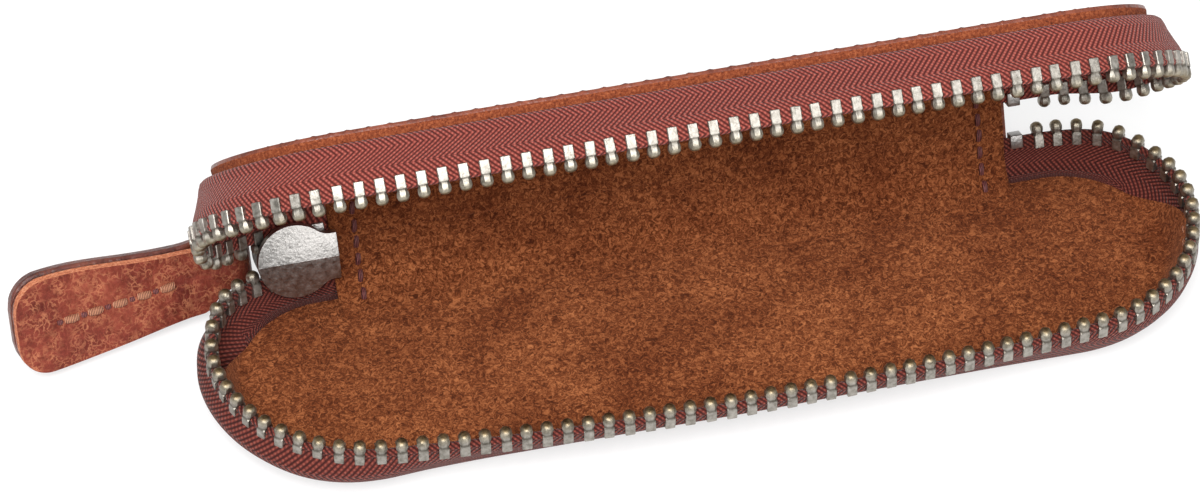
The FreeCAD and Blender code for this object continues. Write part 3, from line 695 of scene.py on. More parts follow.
def spine_share(run):
    """How far the zip has gone over from the panel to the spine at a run."""
    return ease(-run, *LEFT_TWIST) + ease(run, *RIGHT_TWIST)


def row_drop(run):
    """How far a row stands below the zip's middle line, beside the slider and at the far end."""
    left = ease(-run, *LEFT_PART) * (1 - ease(-run, *LEFT_JOIN))
    return OPEN_DROP * (left + ease(run, *RIGHT_PART))


def belly(run):
    """How far the lower tape swells outwards at the front corners and the ends, where it is slack."""
    most = LEFT_BELLY if run < 0 else RIGHT_BELLY
    return most * float(ease(abs(run), *BELLY_GROW) * (1 - ease(abs(run), *BELLY_SHRINK)))


def sagged(points, share):
    """Points on the zip's left end, let down along the spine by the weight of slider and pull."""
    return np.asarray(points) - SAG * np.asarray(share)[..., None] * SPINE_UP


def sag_share(run):
    """How much of the sag reaches a run."""
    return float(ease(-run, *SAG_GROW) * (1 - ease(-run, *SAG_SHRINK)))


def tape_ring(run, swell):
    """The section of the lower tape at a run, with the case open and the tape swollen outwards."""
    x_zip, y_zip, turn = zip_line.at(run)
    x_panel, y_panel, _ = panel_line.at(panel_run(run))
    lean, offset, z = WALL_SECTION.T
    sewn = 1 - ALLOWANCE_LOST * float(ease(abs(run), *NARROWING))
    offset = np.where(offset < UNDER_LINING, offset * sewn, offset)
    slack = np.sin(math.pi * np.clip((z - BELLY_FOOT) / BELLY_HEIGHT, 0, 1)) * (offset > UNDER_LINING)
    offset = offset + swell * slack
    x = x_panel + (x_zip - x_panel) * lean + offset * math.sin(turn)
    y = y_panel + (y_zip - y_panel) * lean - offset * math.cos(turn)
    dropped = z - float(row_drop(run)) * ease(z, *DROP_HEIGHTS)
    return opened(np.stack([x, y, dropped], -1), float(spine_share(run)) * ease(z, *TWIST_HEIGHTS))


tape_runs = np.linspace(-TAPE_END, TAPE_END, TAPE_STEPS)
slack_rings = np.array([tape_ring(run, belly(run)) for run in tape_runs])
tight_rings = np.array([tape_ring(run, 0.0) for run in tape_runs])
tape_sag = np.array([sag_share(run) * ease(WALL_SECTION[:, 2], *TWIST_HEIGHTS) for run in tape_runs])
lower_tape = tube("lower_tape", sagged(slack_rings, tape_sag), tape_runs, [shaded_zip_tape])
upper_tape = tube("upper_tape", sagged(on_lid(tight_rings), tape_sag), tape_runs, [zip_tape])
bend_pair(lower_tape, upper_tape)
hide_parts("lower_zip_tape", "lower_tape_ends")
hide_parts("upper_zip_tape", "upper_tape_ends")
print("tape rings:", len(tape_runs), "length", round(2 * TAPE_END), "mm")

# %% [markdown]
# The linings are thin suede. The floor lining is a flat sheet that climbs the leaning tape almost to the
# teeth, where it is sewn down, and stays flat at the back corners. It is drawn as rings between a middle
# line and the edge, because rings follow the round ends better than a square grid. The lid has its mirror
# image.

# %% Floor and lid lining
LINING_TOP = 2.55
MIDDLE_X = 36.0
MIDDLE_Y = 1.9
FLOOR_INSET = -1.3
LINING_STEPS = 401
LINING_FLATTENS = (CORNER_RUN - 4, CORNER_RUN + 8)
WELD = 0.02
LINING_RINGS = np.array([
    (0.02, 0, 0, LINING_TOP), (0.25, 0, 0, LINING_TOP), (0.5, 0, 0, LINING_TOP), (0.72, 0, 0, LINING_TOP),
    (0.86, 0, 0, LINING_TOP), (0.94, 0, 0, LINING_TOP + 0.02), (1.0, 0, FLOOR_INSET, LINING_TOP + 0.08),
    (1.0, 0.06, -0.95, 3.0), (1.0, 0.3, -0.75, 3.9), (1.0, 0.6, -0.72, 5.0), (1.0, 0.88, -0.72, 5.85),
    (1.0, 1.0, -0.72, 6.4), (1.0, 1.0, -0.6, 6.62), (1.0, 1.0, -0.42, 6.5), (1.0, 1.0, -0.36, 5.6),
])


def lining_ring(run):
    """Points from the middle of the floor out to the lining's edge, at a run."""
    x_zip, y_zip, _ = zip_line.at(run)
    x_panel, y_panel, turn = panel_line.at(panel_run(run))
    climb = 1 - float(ease(abs(run), *LINING_FLATTENS))
    middle = MIDDLE_X * x_panel / PANEL_HALF
    points = []
    for reach, lean, offset, z in LINING_RINGS:
        height = LINING_TOP + (z - LINING_TOP) * climb
        lean = lean * climb
        offset = offset if reach == 1.0 else FLOOR_INSET
        offset = offset * climb + (1 - climb) * FLOOR_INSET
        x = x_panel + (x_zip - x_panel) * lean + offset * math.sin(turn)
        y = y_panel + (y_zip - y_panel) * lean - offset * math.cos(turn)
        points.append((middle + (x - middle) * reach, MIDDLE_Y + (y - MIDDLE_Y) * reach, height))
    return points


def lining_piece(name, points):
    """A lining from its rings of points."""
    rows, columns = points.shape[:2]
    quads = grid_quads(np.arange(rows * columns).reshape(rows, columns))
    piece = new_piece(name, points.reshape(-1, 3), quads.tolist(), [suede])
    shape = bmesh.new()
    shape.from_mesh(piece.data)
    bmesh.ops.remove_doubles(shape, verts=shape.verts, dist=WELD * MM)
    bmesh.ops.holes_fill(shape, edges=[edge for edge in shape.edges if edge.is_boundary], sides=0)
    bmesh.ops.recalc_face_normals(shape, faces=shape.faces)
    shape.to_mesh(piece.data)
    shape.free()
    return piece


lining_runs = np.linspace(-HALF_RUN, HALF_RUN, LINING_STEPS)
lining_points = np.array([lining_ring(run) for run in lining_runs])
floor_lining = lining_piece("floor_suede", lining_points)
lid_lining = lining_piece("lid_suede", on_lid(lining_points))
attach(floor_lining, "base")
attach(lid_lining, "lid")
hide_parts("floor_lining")
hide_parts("lid_lining")
print("lining rings:", lining_points.shape[:2])

# %% [markdown]
# A suede strip covers the inside of the spine and the tape ends, and goes on over the floor and the lid, so
# that no gap opens at the folds. It is drawn in two halves that meet in the middle of the spine. Each half
# is a slab that leaves the floor on a curve and climbs the spine with a slight swell.
# Its seams are pressed in.

# %% Spine lining
LINING_T = 0.5
STRIP_T = 0.4
SPINE_FACE = BACK_Y - TAPE_HALF - LINING_T
STRIP_LEFT = -SPINE_END - 0.9
STRIP_RIGHT = SPINE_END - 0.7
STRIP_LOW = LEATHER_T + 3.0
STRIP_START = np.array((11.4, LINING_TOP + 0.03))
STRIP_COLUMNS = 161
STRIP_BULGE = 0.05
SEAM_INSET = 2.9
SEAM_PRESS, SEAM_SPREAD = 0.16, 0.55
SWELL = 0.25


def strip_face(z):
    """The place of the strip's face on the open spine, at a height of the shut case."""
    swell = SWELL * math.sin(math.pi / 2 * min(max((z - STRIP_LOW) / (MID_Z - STRIP_LOW), 0), 1))
    return opened((0, SPINE_FACE - swell, z))[1:]


def strip_path():
    """Points of the strip's section from the floor to the middle of the spine, as (Y, Z)."""
    low = strip_face(STRIP_LOW)
    rise = low - opened((0, SPINE_FACE, STRIP_LOW - 1))[1:]
    corner = low - rise * (low[1] - STRIP_START[1]) / rise[1]
    shares = np.linspace(0, 1, 17)[:, None]
    curve = (1 - shares) ** 2 * STRIP_START + 2 * shares * (1 - shares) * corner + shares ** 2 * low
    climb = [strip_face(z) for z in np.linspace(STRIP_LOW, MID_Z, 13)[1:]]
    return np.concatenate([curve, climb])


def strip_grid(depth):
    """A grid on the strip at a depth under its face, pressed in along the two seams."""
    path = strip_path()
    along = np.gradient(path, axis=0)
    normals = np.stack([along[:, 1], -along[:, 0]], -1) / np.linalg.norm(along, axis=1)[:, None]
    grid = []
    for (y, z), (normal_y, normal_z) in zip(path, normals):
        row = []
        for x in np.linspace(STRIP_LEFT, STRIP_RIGHT, STRIP_COLUMNS):
            to_seam = min(x - STRIP_LEFT, STRIP_RIGHT - x) - SEAM_INSET
            press = depth if depth else SEAM_PRESS * math.exp(-(to_seam / SEAM_SPREAD) ** 2)
            row.append((x, y + press * normal_y, z + press * normal_z))
        grid.append(row)
    return np.array(grid)


strip_outer, strip_inner = strip_grid(0.0), strip_grid(STRIP_T)
lid_faces = on_lid(strip_outer), on_lid(strip_inner)
lower_strip = slab("lower_spine_suede", strip_outer, strip_inner, [suede, suede], STRIP_BULGE)
upper_strip = slab("upper_spine_suede", *lid_faces, [suede, suede], STRIP_BULGE)
bend_pair(lower_strip, upper_strip)
for lining in (lower_strip, upper_strip):
    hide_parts("spine_lining")
print("spine strip:", round(STRIP_RIGHT - STRIP_LEFT, 1), "mm long")

# %% [markdown]
# Teeth and stitches repeat along a path. Geometry Nodes puts a copy of one small mesh on every point of a
# path, turned by an attribute that is worked out beforehand, with a slight random tilt from a fixed seed.
# The copies are then made real and stored as a plain mesh.

# %% Copies along a path
COPY_INPUTS = {
    "Points": "NodeSocketGeometry", "Piece": "NodeSocketObject", "Finish": "NodeSocketMaterial",
    "Tilt": "NodeSocketFloat", "Seed": "NodeSocketInt",
}


def copies_tree():
    """A node tree that puts a piece on each point, turned by the point's own angles."""
    tree = bpy.data.node_groups.new("copies_on_points", "GeometryNodeTree")
    for name, kind in COPY_INPUTS.items():
        tree.interface.new_socket(name, in_out="INPUT", socket_type=kind)
    tree.interface.new_socket("Copies", in_out="OUTPUT", socket_type="NodeSocketGeometry")
    given = add(tree, "NodeGroupInput").outputs
    angles = add(tree, "GeometryNodeInputNamedAttribute", {"Name": "spin"}, data_type="FLOAT_VECTOR")
    most = add(tree, "ShaderNodeCombineXYZ", {"X": given["Tilt"], "Y": given["Tilt"], "Z": given["Tilt"]})
    least = add(tree, "ShaderNodeVectorMath", {0: most, "Scale": -1.0}, operation="SCALE")
    chance = add(tree, "FunctionNodeRandomValue", {
        0: least, 1: most, "Seed": given["Seed"],
    }, data_type="FLOAT_VECTOR")
    sway = add(tree, "ShaderNodeVectorMath", {0: angles, 1: chance}, operation="ADD")
    spin = add(tree, "FunctionNodeEulerToRotation", {0: sway})
    piece = add(tree, "GeometryNodeObjectInfo", {"Object": given["Piece"]})
    placed = add(tree, "GeometryNodeInstanceOnPoints", {
        "Points": given["Points"], "Instance": piece.outputs["Geometry"], "Rotation": spin,
    })
    real = add(tree, "GeometryNodeRealizeInstances", {"Geometry": placed})
    finished = add(tree, "GeometryNodeSetMaterial", {"Geometry": real, "Material": given["Finish"]})
    add(tree, "NodeGroupOutput", {"Copies": finished})
    return tree


COPIES = copies_tree()


def copies(name, pattern, places, finish, tilt=0.0, seed=1):
    """One plain mesh of a pattern copied to (point, X axis, Z axis) places."""
    points = new_piece(name, [place for place, _, _ in places], [], [])
    spin = points.data.attributes.new("spin", "FLOAT_VECTOR", "POINT")
    for item, (_, along, up) in zip(spin.data, places):
        x = Vector(along).normalized()
        y = Vector(up).cross(x).normalized()
        item.vector = Matrix((x, y, x.cross(y))).transposed().to_euler()
    modifier = points.modifiers.new("copies", "NODES")
    modifier.node_group = COPIES
    sockets = {item.name: item.identifier for item in COPIES.interface.items_tree if item.in_out == "INPUT"}
    modifier[sockets["Piece"]] = pattern
    modifier[sockets["Finish"]] = finish
    modifier[sockets["Tilt"]] = math.radians(tilt)
    modifier[sockets["Seed"]] = seed
    bpy.context.view_layer.update()
    ready = points.evaluated_get(bpy.context.evaluated_depsgraph_get())
    mesh = bpy.data.meshes.new_from_object(ready)
    points.modifiers.clear()
    points.data = mesh
    return points


def ring_stack(name, rings, sharp_angle=40):
    """A small closed mesh from eight-sided rings of (height, X size, Y size, corner cut)."""
    points = []
    for z, wide, deep, cut in rings:
        a, b = wide / 2, deep / 2
        quarter = [(a, b - cut), (a - cut, b), (cut - a, b), (-a, b - cut)]
        points += [(x, y, z) for x, y in quarter] + [(-x, -y, z) for x, y in quarter]
    index = np.arange(len(points)).reshape(len(rings), 8)
    faces = ring_quads(index).tolist() + [index[0, ::-1].tolist(), index[-1].tolist()]
    piece = new_piece(name, points, faces, [])
    height = piece.data.attributes.new("height", "FLOAT", "POINT")
    height.data.foreach_set("value", [point[2] for point in points])
    shape = bmesh.new()
    shape.from_mesh(piece.data)
    bmesh.ops.recalc_face_normals(shape, faces=shape.faces)
    for edge in shape.edges:
        edge.smooth = edge.calc_face_angle(0) < math.radians(sharp_angle)
    shape.to_mesh(piece.data)
    shape.free()
    return piece


print("copies tree:", len(COPIES.nodes), "nodes")

# %% [markdown]
# A tooth has two flat legs that are clamped on the tape's edge and a round head that fits between two
# teeth of the other row. The rows are set out along the zip line, half a pitch apart, and each tooth
# follows the tape: upright along the panels and turned with the spine at the ends.

# %% Zip teeth
TOOTH_PITCH = 2.3
TOOTH_TILT = 1.6
LEFT_OVERRUN = 2
RIGHT_SHORT = 2.6
TOOTH_RINGS = [
    (-2.95, 0.96, 1.42, 0.08), (-2.87, 1.12, 1.58, 0.08), (-1.45, 1.12, 1.58, 0.08),
    (-1.32, 1.06, 1.44, 0.2), (-1.16, 1.12, 1.42, 0.26), (-0.92, 1.3, 1.5, 0.34), (-0.55, 1.36, 1.5, 0.38),
    (-0.22, 1.14, 1.26, 0.34), (-0.04, 0.74, 0.86, 0.24), (0.0, 0.44, 0.52, 0.14),
]
tooth = ring_stack("tooth_pattern", TOOTH_RINGS)


def row_places(phase, mirror):
    """The place and axes of every tooth of a row."""
    first = math.ceil((-BACK_RUN - LEFT_OVERRUN) / TOOTH_PITCH - phase)
    last = math.floor((BACK_RUN + zip_line.back_x - SPINE_END - RIGHT_SHORT) / TOOTH_PITCH - phase)
    places = []
    for number in range(first, last + 1):
        run = (number + phase) * TOOTH_PITCH
        x, y, turn = zip_line.at(run)
        top = np.array((x, y, TOOTH_TOP - float(row_drop(run))))
        ends = top + np.array([(0, 0, 0), (math.cos(turn), math.sin(turn), 0), (0, 0, 1)])
        ends = opened(ends, float(spine_share(run)))
        ends = on_lid(ends) if mirror else ends
        place = sagged(ends[0], sag_share(run))
        places.append((place, ends[1] - ends[0], ends[2] - ends[0]))
    return places


lower_teeth = copies("lower_teeth", tooth, row_places(0.0, False), tooth_metal, TOOTH_TILT, 3)
upper_teeth = copies("upper_teeth", tooth, row_places(0.5, True), tooth_metal, TOOTH_TILT, 5)
bend_pair(lower_teeth, upper_teeth)
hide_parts("lower_zip_teeth", "lower_end_teeth")
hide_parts("upper_zip_teeth", "upper_end_teeth")
print("teeth:", len(row_places(0.0, False)), "and", len(row_places(0.5, True)))

# %% [markdown]
# The slider, its crown, the link and the stops are cast or bent metal whose edges were rounded by tumbling.
# Their solids already have the right form, so each is copied, its flat triangles are joined again and all
# sharp edges get a small round bevel that catches the light. The slider's inner plate has a shallow crease
# along its middle, so that its two facets reflect differently.

# %% Metal pieces
SAME_POINT = 0.002
FLAT_ANGLE = math.radians(2)
SHARP_ANGLE = math.radians(28)
CREASE_RISE, CREASE_SLOPE = 0.12, 0.05
PLATE_DEPTH = 0.05
CREASE_WIDTH = 0.01
CUT_REACH = 0.001


def softened(name, node, width, finish, body, sag=0.0):
    """A copy of a solid with round edges, let down with the zip's end where it hangs there."""
    shape = bmesh.new()
    shape.from_mesh(frame["nodes"][node].data)
    bmesh.ops.remove_doubles(shape, verts=shape.verts, dist=SAME_POINT * MM)
    bmesh.ops.dissolve_limit(shape, angle_limit=FLAT_ANGLE, verts=shape.verts, edges=shape.edges)
    sharp = [edge for edge in shape.edges if edge.calc_face_angle(0) > SHARP_ANGLE]
    bmesh.ops.bevel(
        shape, geom=sharp, offset=width * MM, segments=2, profile=0.5, affect="EDGES", clamp_overlap=True,
    )
    bmesh.ops.triangulate(shape, faces=[face for face in shape.faces if len(face.verts) > 4])
    bmesh.ops.translate(shape, verts=shape.verts, vec=Vector(sagged((0, 0, 0), sag) * MM))
    mesh = bpy.data.meshes.new(name)
    shape.to_mesh(mesh)
    shape.free()
    mesh.materials.append(finish)
    piece = show(name, mesh)
    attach(piece, body)
    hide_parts(node)
    return piece


def crease_plate(piece):
    """Folds the slider's inner plate along its middle, so that it has an upper and a lower facet."""
    inward = Vector(opened((0.0, -1.0, 0.0)) - opened((0.0, 0.0, 0.0)))
    along = Vector(SPINE_UP)
    middle = Vector(sagged(opened((0.0, BACK_Y, MID_Z)), 1.0)) * MM
    shape = bmesh.new()
    shape.from_mesh(piece.data)
    everything = shape.verts[:] + shape.edges[:] + shape.faces[:]
    bmesh.ops.bisect_plane(shape, geom=everything, dist=CUT_REACH * MM, plane_co=middle, plane_no=along)
    face_depth = max(point.co.dot(inward) for point in shape.verts)
    on_face = {point for point in shape.verts if face_depth - point.co.dot(inward) < PLATE_DEPTH * MM}
    beside = {point: abs((point.co - middle).dot(along)) for point in on_face}
    for edge in shape.edges:
        if all(point in on_face and beside[point] < CREASE_WIDTH * MM for point in edge.verts):
            edge.smooth = False
    for point in on_face:
        point.co += inward * (CREASE_RISE * MM - CREASE_SLOPE * beside[point])
    shape.to_mesh(piece.data)
    shape.free()


slider = softened("slider", "slider_body", 0.22, slider_metal, "slider", 1.0)
crease_plate(slider)
crown = softened("crown", "slider_crown", 0.15, slider_metal, "slider", 1.0)
link = softened("link", "pull_ring", 0.05, slider_metal, "pull_ring", 1.0)
for stop in ("bottom_stop", "lower_top_stop", "upper_top_stop"):
    softened(stop + "_clip", stop, 0.12, slider_metal, "spine")
print("faces of slider, crown and link:", [len(piece.data.polygons) for piece in (slider, crown, link)])

# %% [markdown]
# The pull is a strip of leather folded round the link and sewn to itself. One slab follows the whole strip:
# along the outer layer, round the link and back along the inner layer. The layers part a little near the
# link, as stiff leather does, and the strap hangs a little by its own weight. It is narrow at the eye, wide
# at the tip and trimmed along the upper side of its root. The cut sides and the round tip are the slab's
# rim.

# %% Pull strap
SLIDER_U = -zip_line.back_x
PULL_LEAN = math.radians(12.0)
PIN_U, PIN_N = 0.9, 3.95
EYE_U = PIN_U + 6.2
STRAP_END = EYE_U + 26.5
LAYER_T = 1.3
LAYER_MIDDLE = 0.8
EYE_MIDDLE = 1.55
EYE_HALF, ROOT_HALF, TIP_HALF, TIP_R = 3.0, 4.4, 5.5, 3.6
ROOT_SPAN = (EYE_U + 1.8, EYE_U + 4.2)
TIP_SPAN = (EYE_U + 3, STRAP_END - TIP_R)
LAYERS_MEET = (EYE_U, EYE_U + 6.5)
LAYER_SPRING = 0.15
BACK_LAYER = 2
BACK_LIFT = 0.3
LIFT_SPAN = (EYE_U, EYE_U + 5)
STRAP_DROOP = math.tan(math.radians(4.0))
STRAP_DROP, DROP_LENGTH = 0.8, 5
ROOT_TRIM = 1.2
TRIM_GROW, TRIM_SHRINK = (EYE_U, EYE_U + 4), (EYE_U + 4, STRAP_END - TIP_R)
RIPPLE, RIPPLE_TURN = 0.06, 0.55
STRAP_ROWS, STRAP_COLUMNS = 121, 25
NEAR = 0.002


def on_pull(points):
    """Points in the slider's frame (along, up, out), leaned with the link and turned with the spine."""
    points = np.asarray(points, float)
    along, up, out = points[..., 0] - PIN_U, points[..., 1], points[..., 2] - PIN_N
    past_eye = np.maximum(along - (EYE_U - PIN_U), 0)
    up = up - STRAP_DROOP * past_eye - STRAP_DROP * ease(past_eye, 0, DROP_LENGTH)
    u = PIN_U + along * math.cos(PULL_LEAN) + out * math.sin(PULL_LEAN)
    n = PIN_N - along * math.sin(PULL_LEAN) + out * math.cos(PULL_LEAN)
    return sagged(opened(np.stack([SLIDER_U - u, BACK_Y + n, MID_Z + up], -1)), np.ones(u.shape))


def strap_middle(share):
    """The middle of the strip, from the outer layer's tip to the inner layer's tip, as (along, out)."""
    arc = math.pi * EYE_MIDDLE
    straight = STRAP_END - EYE_U
    length = share * (2 * straight + arc)
    if length < straight or length > straight + arc:
        side = 1 if length < straight else -1
        along = STRAP_END - length if side > 0 else EYE_U + length - straight - arc
        part = 1 - float(ease(along, *LAYERS_MEET))
        spring = LAYER_SPRING * part * (1 - part)
        return along, side * (LAYER_MIDDLE + (EYE_MIDDLE - LAYER_MIDDLE) * part + spring)
    angle = (length - straight) / EYE_MIDDLE
    return EYE_U - EYE_MIDDLE * math.sin(angle), EYE_MIDDLE * math.cos(angle)


def strap_half(along):
    """Half the strip's width at a place along it."""
    half = EYE_HALF + (ROOT_HALF - EYE_HALF) * float(ease(along, *ROOT_SPAN))
    half += (TIP_HALF - ROOT_HALF) * float(ease(along, *TIP_SPAN))
    left = max(STRAP_END - along, 0.0)
    if left < TIP_R:
        half -= TIP_R - math.sqrt(max(TIP_R ** 2 - (TIP_R - left) ** 2, 0.0))
    return half


def strap_grid(depth):
    """A grid on one face of the strip, with its rows closer together at the tips."""
    crowd = np.linspace(0, math.pi, STRAP_ROWS)
    shares = (1 - np.cos(crowd)) / 2 * 0.5 + np.linspace(0, 1, STRAP_ROWS) * 0.5
    grid = []
    for share in shares:
        before, after = strap_middle(max(share - NEAR, 0)), strap_middle(min(share + NEAR, 1))
        step = np.array(after) - np.array(before)
        normal = np.array((step[1], -step[0])) / np.linalg.norm(step)
        along, out = np.array(strap_middle(share)) + depth * normal
        half = strap_half(strap_middle(share)[0])
        ripple = RIPPLE * math.sin(along * RIPPLE_TURN) * (depth > 0)
        lift = BACK_LIFT * float(ease(out, -0.5, 0.5)) * float(ease(along, *LIFT_SPAN))
        trim = ROOT_TRIM * float(ease(along, *TRIM_GROW) * (1 - ease(along, *TRIM_SHRINK)))
        row = [(along, lift + (half - trim * (across > 0)) * across, PIN_N + out + ripple)
               for across in np.linspace(-1, 1, STRAP_COLUMNS)]
        grid.append(row)
    return on_pull(np.array(grid))


strap_faces = strap_grid(-LAYER_T / 2), strap_grid(LAYER_T / 2)
strap = slab("pull_strap_leather", *strap_faces, [strap_leather, strap_edge], 0.1)
strap.data.materials.append(strap_back_leather)
strap_axis = on_pull((EYE_U, 0, PIN_N)) * MM
away = on_pull((EYE_U, 0, PIN_N + 1)) * MM - strap_axis
for face in strap.data.polygons:
    if (np.array(face.center) - strap_axis) @ away > 0:
        face.material_index = BACK_LAYER
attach(strap, "pull_strap")
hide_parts("pull_strap")
print("strap:", round(STRAP_END - EYE_U, 1), "mm long")

# %% [markdown]
# Stitches hold the layers together. A stitch is a short fat thread that sinks at both ends, and the same
# tree copies it along each seam. The first seam is the row round each panel. Under the case it lies a
# little deeper in the leather, so that the case rests on its leather and not on its thread.

# %% Stitches round the panels
STITCH = [(-0.5, 0.1), (-0.46, 0.22), (-0.3, 0.31), (0.0, 0.35), (0.3, 0.31), (0.46, 0.22), (0.5, 0.1)]
CORNER_CUT = 0.29
SEAM_TILT = 4.0
RIM_PITCH = 2.4
RIM_INSET = 2.2
RIM_GAP = 5.0
RIM_DEPTH = 0.32


def stitch_pattern(name, length, thickness):
    """A thread lying along X that sinks at its ends."""
    sizes = [(z * length, size * thickness) for z, size in STITCH]
    pattern = ring_stack(name, [(z, size, size, CORNER_CUT * size) for z, size in sizes], 180)
    for point in pattern.data.vertices:
        x, y, z = point.co
        sink = 0.5 * thickness * MM * (2 * abs(z) / (length * MM)) ** 4
        point.co = (z, y, -x - sink)
    face_outwards(pattern)
    return pattern


def seam(name, pattern, path, normals, finish, body, seed):
    """Stitches laid along a path of points, with their backs to the surface."""
    steps = np.roll(path, -1, axis=0) - np.roll(path, 1, axis=0)
    places = list(zip(path, steps, normals))
    piece = copies(name, pattern, places[1:-1], finish, SEAM_TILT, seed)
    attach(piece, body)
    return piece


seam_stitch = stitch_pattern("seam_stitch_pattern", 1.95, 1.7)
rim_runs = np.arange(-panel_line.ends[3] + RIM_GAP, panel_line.ends[3] - RIM_GAP + 0.1, RIM_PITCH)
rim_path = np.array([(*panel_line.at(run, -LEATHER_STEP - RIM_INSET)[:2], RIM_DEPTH) for run in rim_runs])
rim_out = np.array([(0, 0, -1.0)] * len(rim_path))
seam("base_seam", seam_stitch, rim_path, rim_out, dark_thread, "base", 11)
lid_path = on_lid(rim_path - np.array((0, 0, RIM_DEPTH)))
seam("lid_seam", seam_stitch, lid_path, lid_direction(rim_out), dark_thread, "lid", 13)
print("stitches round a panel:", len(rim_path))

# %% [markdown]
# A column of stitches crosses each end of the spine strip. A straight row would leave the suede at the
# folds, so the stitches are set out along the strip's own section. The column is made in two halves: a
# lower half and its mirror image on the lid.

# %% Stitches across the spine
COLUMN_PITCH = 2.1
COLUMN_GAP = 1.0
COLUMN_TILT = 5.0
COLUMN_SLANT = 0.12
COLUMN_RISE = 0.05


def column_places(points, normals):
    """Places of stitches that run up the strip with a slight slant."""
    return [(point, (COLUMN_SLANT, *np.cross(normal, (1, 0, 0))[1:]), normal)
            for point, normal in zip(points, normals)]


path = strip_path()
lengths = np.concatenate([[0], np.cumsum(np.linalg.norm(np.diff(path, axis=0), axis=1))])
marks = np.arange(lengths[-1] - COLUMN_GAP, COLUMN_GAP, -COLUMN_PITCH)
strip_y = np.interp(marks, lengths, path[:, 0])
strip_z = np.interp(marks, lengths, path[:, 1])
lean_y = np.gradient(strip_z)
lean_z = -np.gradient(strip_y)
steps = np.hypot(lean_y, lean_z)
normals = np.stack([0 * marks, lean_y / steps, lean_z / steps], -1)
for x, side in ((STRIP_LEFT + SEAM_INSET, "left"), (STRIP_RIGHT - SEAM_INSET, "right")):
    column = np.stack([x + 0 * marks, strip_y, strip_z], -1) + COLUMN_RISE * normals
    places = column_places(column, normals)
    lower_column = copies("lower_seam_" + side, seam_stitch, places, dark_thread, COLUMN_TILT, 17)
    places = column_places(on_lid(column), lid_direction(normals))
    upper_column = copies("upper_seam_" + side, seam_stitch, places, dark_thread, COLUMN_TILT, 19)
    bend_pair(lower_column, upper_column)
print("stitches in a column:", 2 * len(marks))

# %% [markdown]
# Each lining is sewn to its tape with fine stitches along its upper edge, as far as the back corners. They
# could be drawn in the suede's material, but threads of their own stand out from the nap in a close view.
# The row on the lid is the mirror image of the row on the floor.

# %% Stitches along the linings
EDGE_PITCH = 2.2
EDGE_LEAN = 0.84
EDGE_INSET = 0.74
EDGE_HEIGHT = 5.74
EDGE_SLOPE = 0.7
lining_stitch = stitch_pattern("lining_stitch_pattern", 1.5, 0.8)
edge_path = []
edge_normals = []
for run in np.arange(-CORNER_RUN, CORNER_RUN + 0.1, EDGE_PITCH):
    x_zip, y_zip, turn = zip_line.at(run)
    x_panel, y_panel, _ = panel_line.at(panel_run(run))
    edge_path.append((
        x_panel + (x_zip - x_panel) * EDGE_LEAN - EDGE_INSET * math.sin(turn),
        y_panel + (y_zip - y_panel) * EDGE_LEAN + EDGE_INSET * math.cos(turn), EDGE_HEIGHT,
    ))
    edge_normals.append((-EDGE_SLOPE * math.sin(turn), EDGE_SLOPE * math.cos(turn), EDGE_SLOPE))
edge_path = np.array(edge_path)
edge_normals = np.array(edge_normals)
lid_normals = lid_direction(edge_normals)
seam("floor_seam", lining_stitch, edge_path, edge_normals, pale_thread, "base", 23)
seam("lid_edge_seam", lining_stitch, on_lid(edge_path), lid_normals, pale_thread, "lid", 29)
print("stitches along a lining:", len(edge_path))

# %% [markdown]
# A row of thick stitches runs down the middle of the pull, on both of its sides. Between two stitches the
# thread goes down into the leather, which shows as a small dark dip. A hole would have to be cut into the
# slab, so each dip is painted shade: a short thread in the dark burgundy finish that lies a little deeper.

# %% Stitches on the pull
STRAP_PITCH = 2.9
ROW_START, ROW_STOP = 5.5, 1.5
THREAD_RISE, DIP_DEPTH = 0.12, 0.1
strap_stitch = stitch_pattern("strap_stitch_pattern", 2.5, 2.5)
# The hole pattern is painted shade: a short dark thread that stands for the shade in a stitch hole.
strap_hole_shade = stitch_pattern("strap_hole_pattern", 1.0, 1.7)
row_marks = np.arange(EYE_U + ROW_START, STRAP_END - ROW_STOP, STRAP_PITCH)
strap_row = np.array([(u, 0, 0) for u in row_marks])
for name, side, seed in (("strap_seam_outer", 1, 31), ("strap_seam_inner", -1, 37)):
    out = PIN_N + side * (LAYER_MIDDLE + LAYER_T / 2 + THREAD_RISE)
    row = on_pull(strap_row + np.array((0, 0, out)))
    dips = on_pull(strap_row + np.array((STRAP_PITCH / 2, 0, out - side * DIP_DEPTH)))
    normals = [on_pull((0, 0, side * 1.0)) - on_pull((0, 0, 0.0))] * len(row)
    seam(name, strap_stitch, row, normals, pale_thread, "pull_strap", seed)
    # Each dip gets the dark burgundy thread as painted shade for a stitch hole.
    seam(name + "_dips", strap_hole_shade, dips, normals, dark_thread, "pull_strap", seed + 2)
for pattern in (tooth, seam_stitch, strap_stitch, strap_hole_shade, lining_stitch):
    bpy.data.objects.remove(pattern)
print("marks along the pull:", len(strap_row))
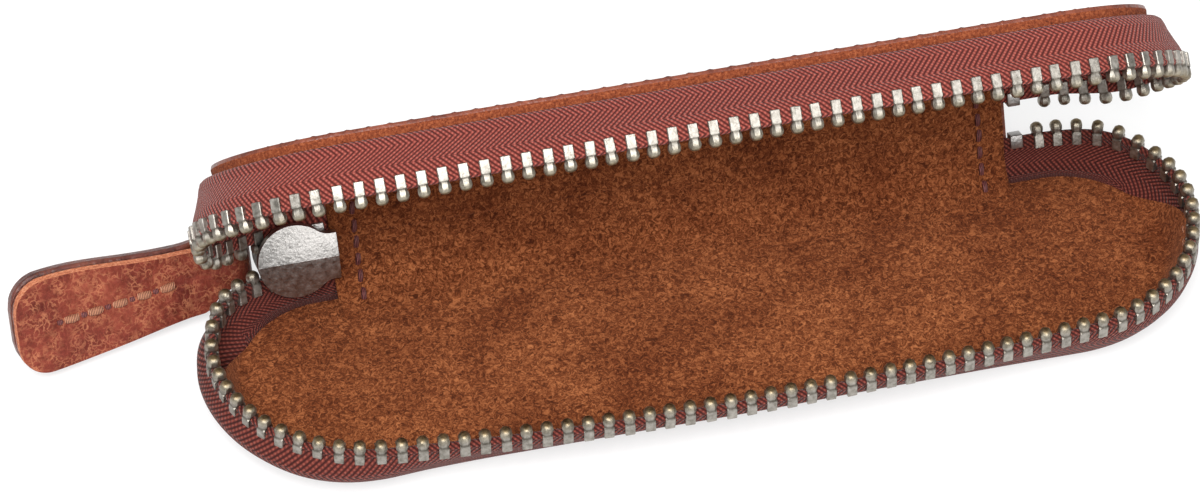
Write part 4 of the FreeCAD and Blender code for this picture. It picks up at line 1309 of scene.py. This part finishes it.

# %% [markdown]
# Every lining and tape is a flat sheet before it is sewn in. Its cut size is not written down or measured
# here.

# %% Cut sizes of the sheets (not measured)


# %% [markdown]
# The case lies on a plain white table under soft studio light. One large lamp above and in front makes the
# main light, a weaker one fills in from the right, and pale surroundings that are brightest overhead do the
# rest. Where the table is seen, directly or in the metal, part of it glows white by itself, so no extra
# light is needed for a white background and the case keeps its shadow.

# %% Table, surroundings and lamps
TABLE_MM = 4000.0
TABLE_GLOW = 0.65
SKY_LEVEL, SKY_TOP = 0.2, 0.9
SKY_RISE = 0.8
AIM = Vector((0, 0, 0.01))
table_white, tree, shader, _ = blank("white_table")
add(tree, shader, {"Roughness": 0.9, "Base Color": linear("f6f6f6")})
rays = add(tree, "ShaderNodeLightPath").outputs
mirrored = add(tree, "ShaderNodeMath", {
    0: rays["Is Camera Ray"], 1: rays["Is Glossy Ray"],
}, operation="MAXIMUM")
seen = add(tree, "ShaderNodeMath", {0: mirrored, 1: rays["Is Transmission Ray"]}, operation="MAXIMUM")
share = add(tree, "ShaderNodeMath", {0: seen, 1: TABLE_GLOW}, operation="MULTIPLY")
glow = add(tree, "ShaderNodeEmission", {"Color": linear("ffffff"), "Strength": 1.0})
surface = add(tree, "ShaderNodeMixShader", {0: share, 1: shader, 2: glow})
add(tree, tree.nodes["Material Output"], {"Surface": surface})
half = TABLE_MM / 2
corners = [(-half, -half, 0), (half, -half, 0), (half, half, 0), (-half, half, 0)]
table = new_piece("table", corners, [(0, 1, 2, 3)], [table_white])

world = bpy.data.worlds.new("pale_studio")
bpy.context.scene.world = world
world.use_nodes = True
tree = world.node_tree
direction = add(tree, "ShaderNodeTexCoord").outputs["Generated"]
upward = add(tree, "ShaderNodeSeparateXYZ", {"Vector": direction}).outputs["Z"]
sky = add(tree, "ShaderNodeMapRange", {
    "Value": upward, "From Min": 0.0, "From Max": SKY_RISE, "To Min": SKY_LEVEL, "To Max": SKY_TOP,
})
add(tree, tree.nodes["Background"], {"Color": linear("ffffff"), "Strength": sky})


def lamp(name, place, size, power):
    """A square soft lamp that faces the middle of the case, in metres and watts."""
    data = bpy.data.lights.new(name, "AREA")
    data.size = size
    data.energy = power
    light = bpy.data.objects.new(name, data)
    light.location = place
    light.rotation_euler = (AIM - Vector(place)).to_track_quat("-Z", "Y").to_euler()
    bpy.context.scene.collection.objects.link(light)


lamp("key_lamp", (-0.22, -0.45, 0.74), 0.4, 9.0)
lamp("fill_lamp", (0.25, -0.65, 0.5), 0.4, 2.5)
bpy.context.scene.view_settings.view_transform = "Standard"
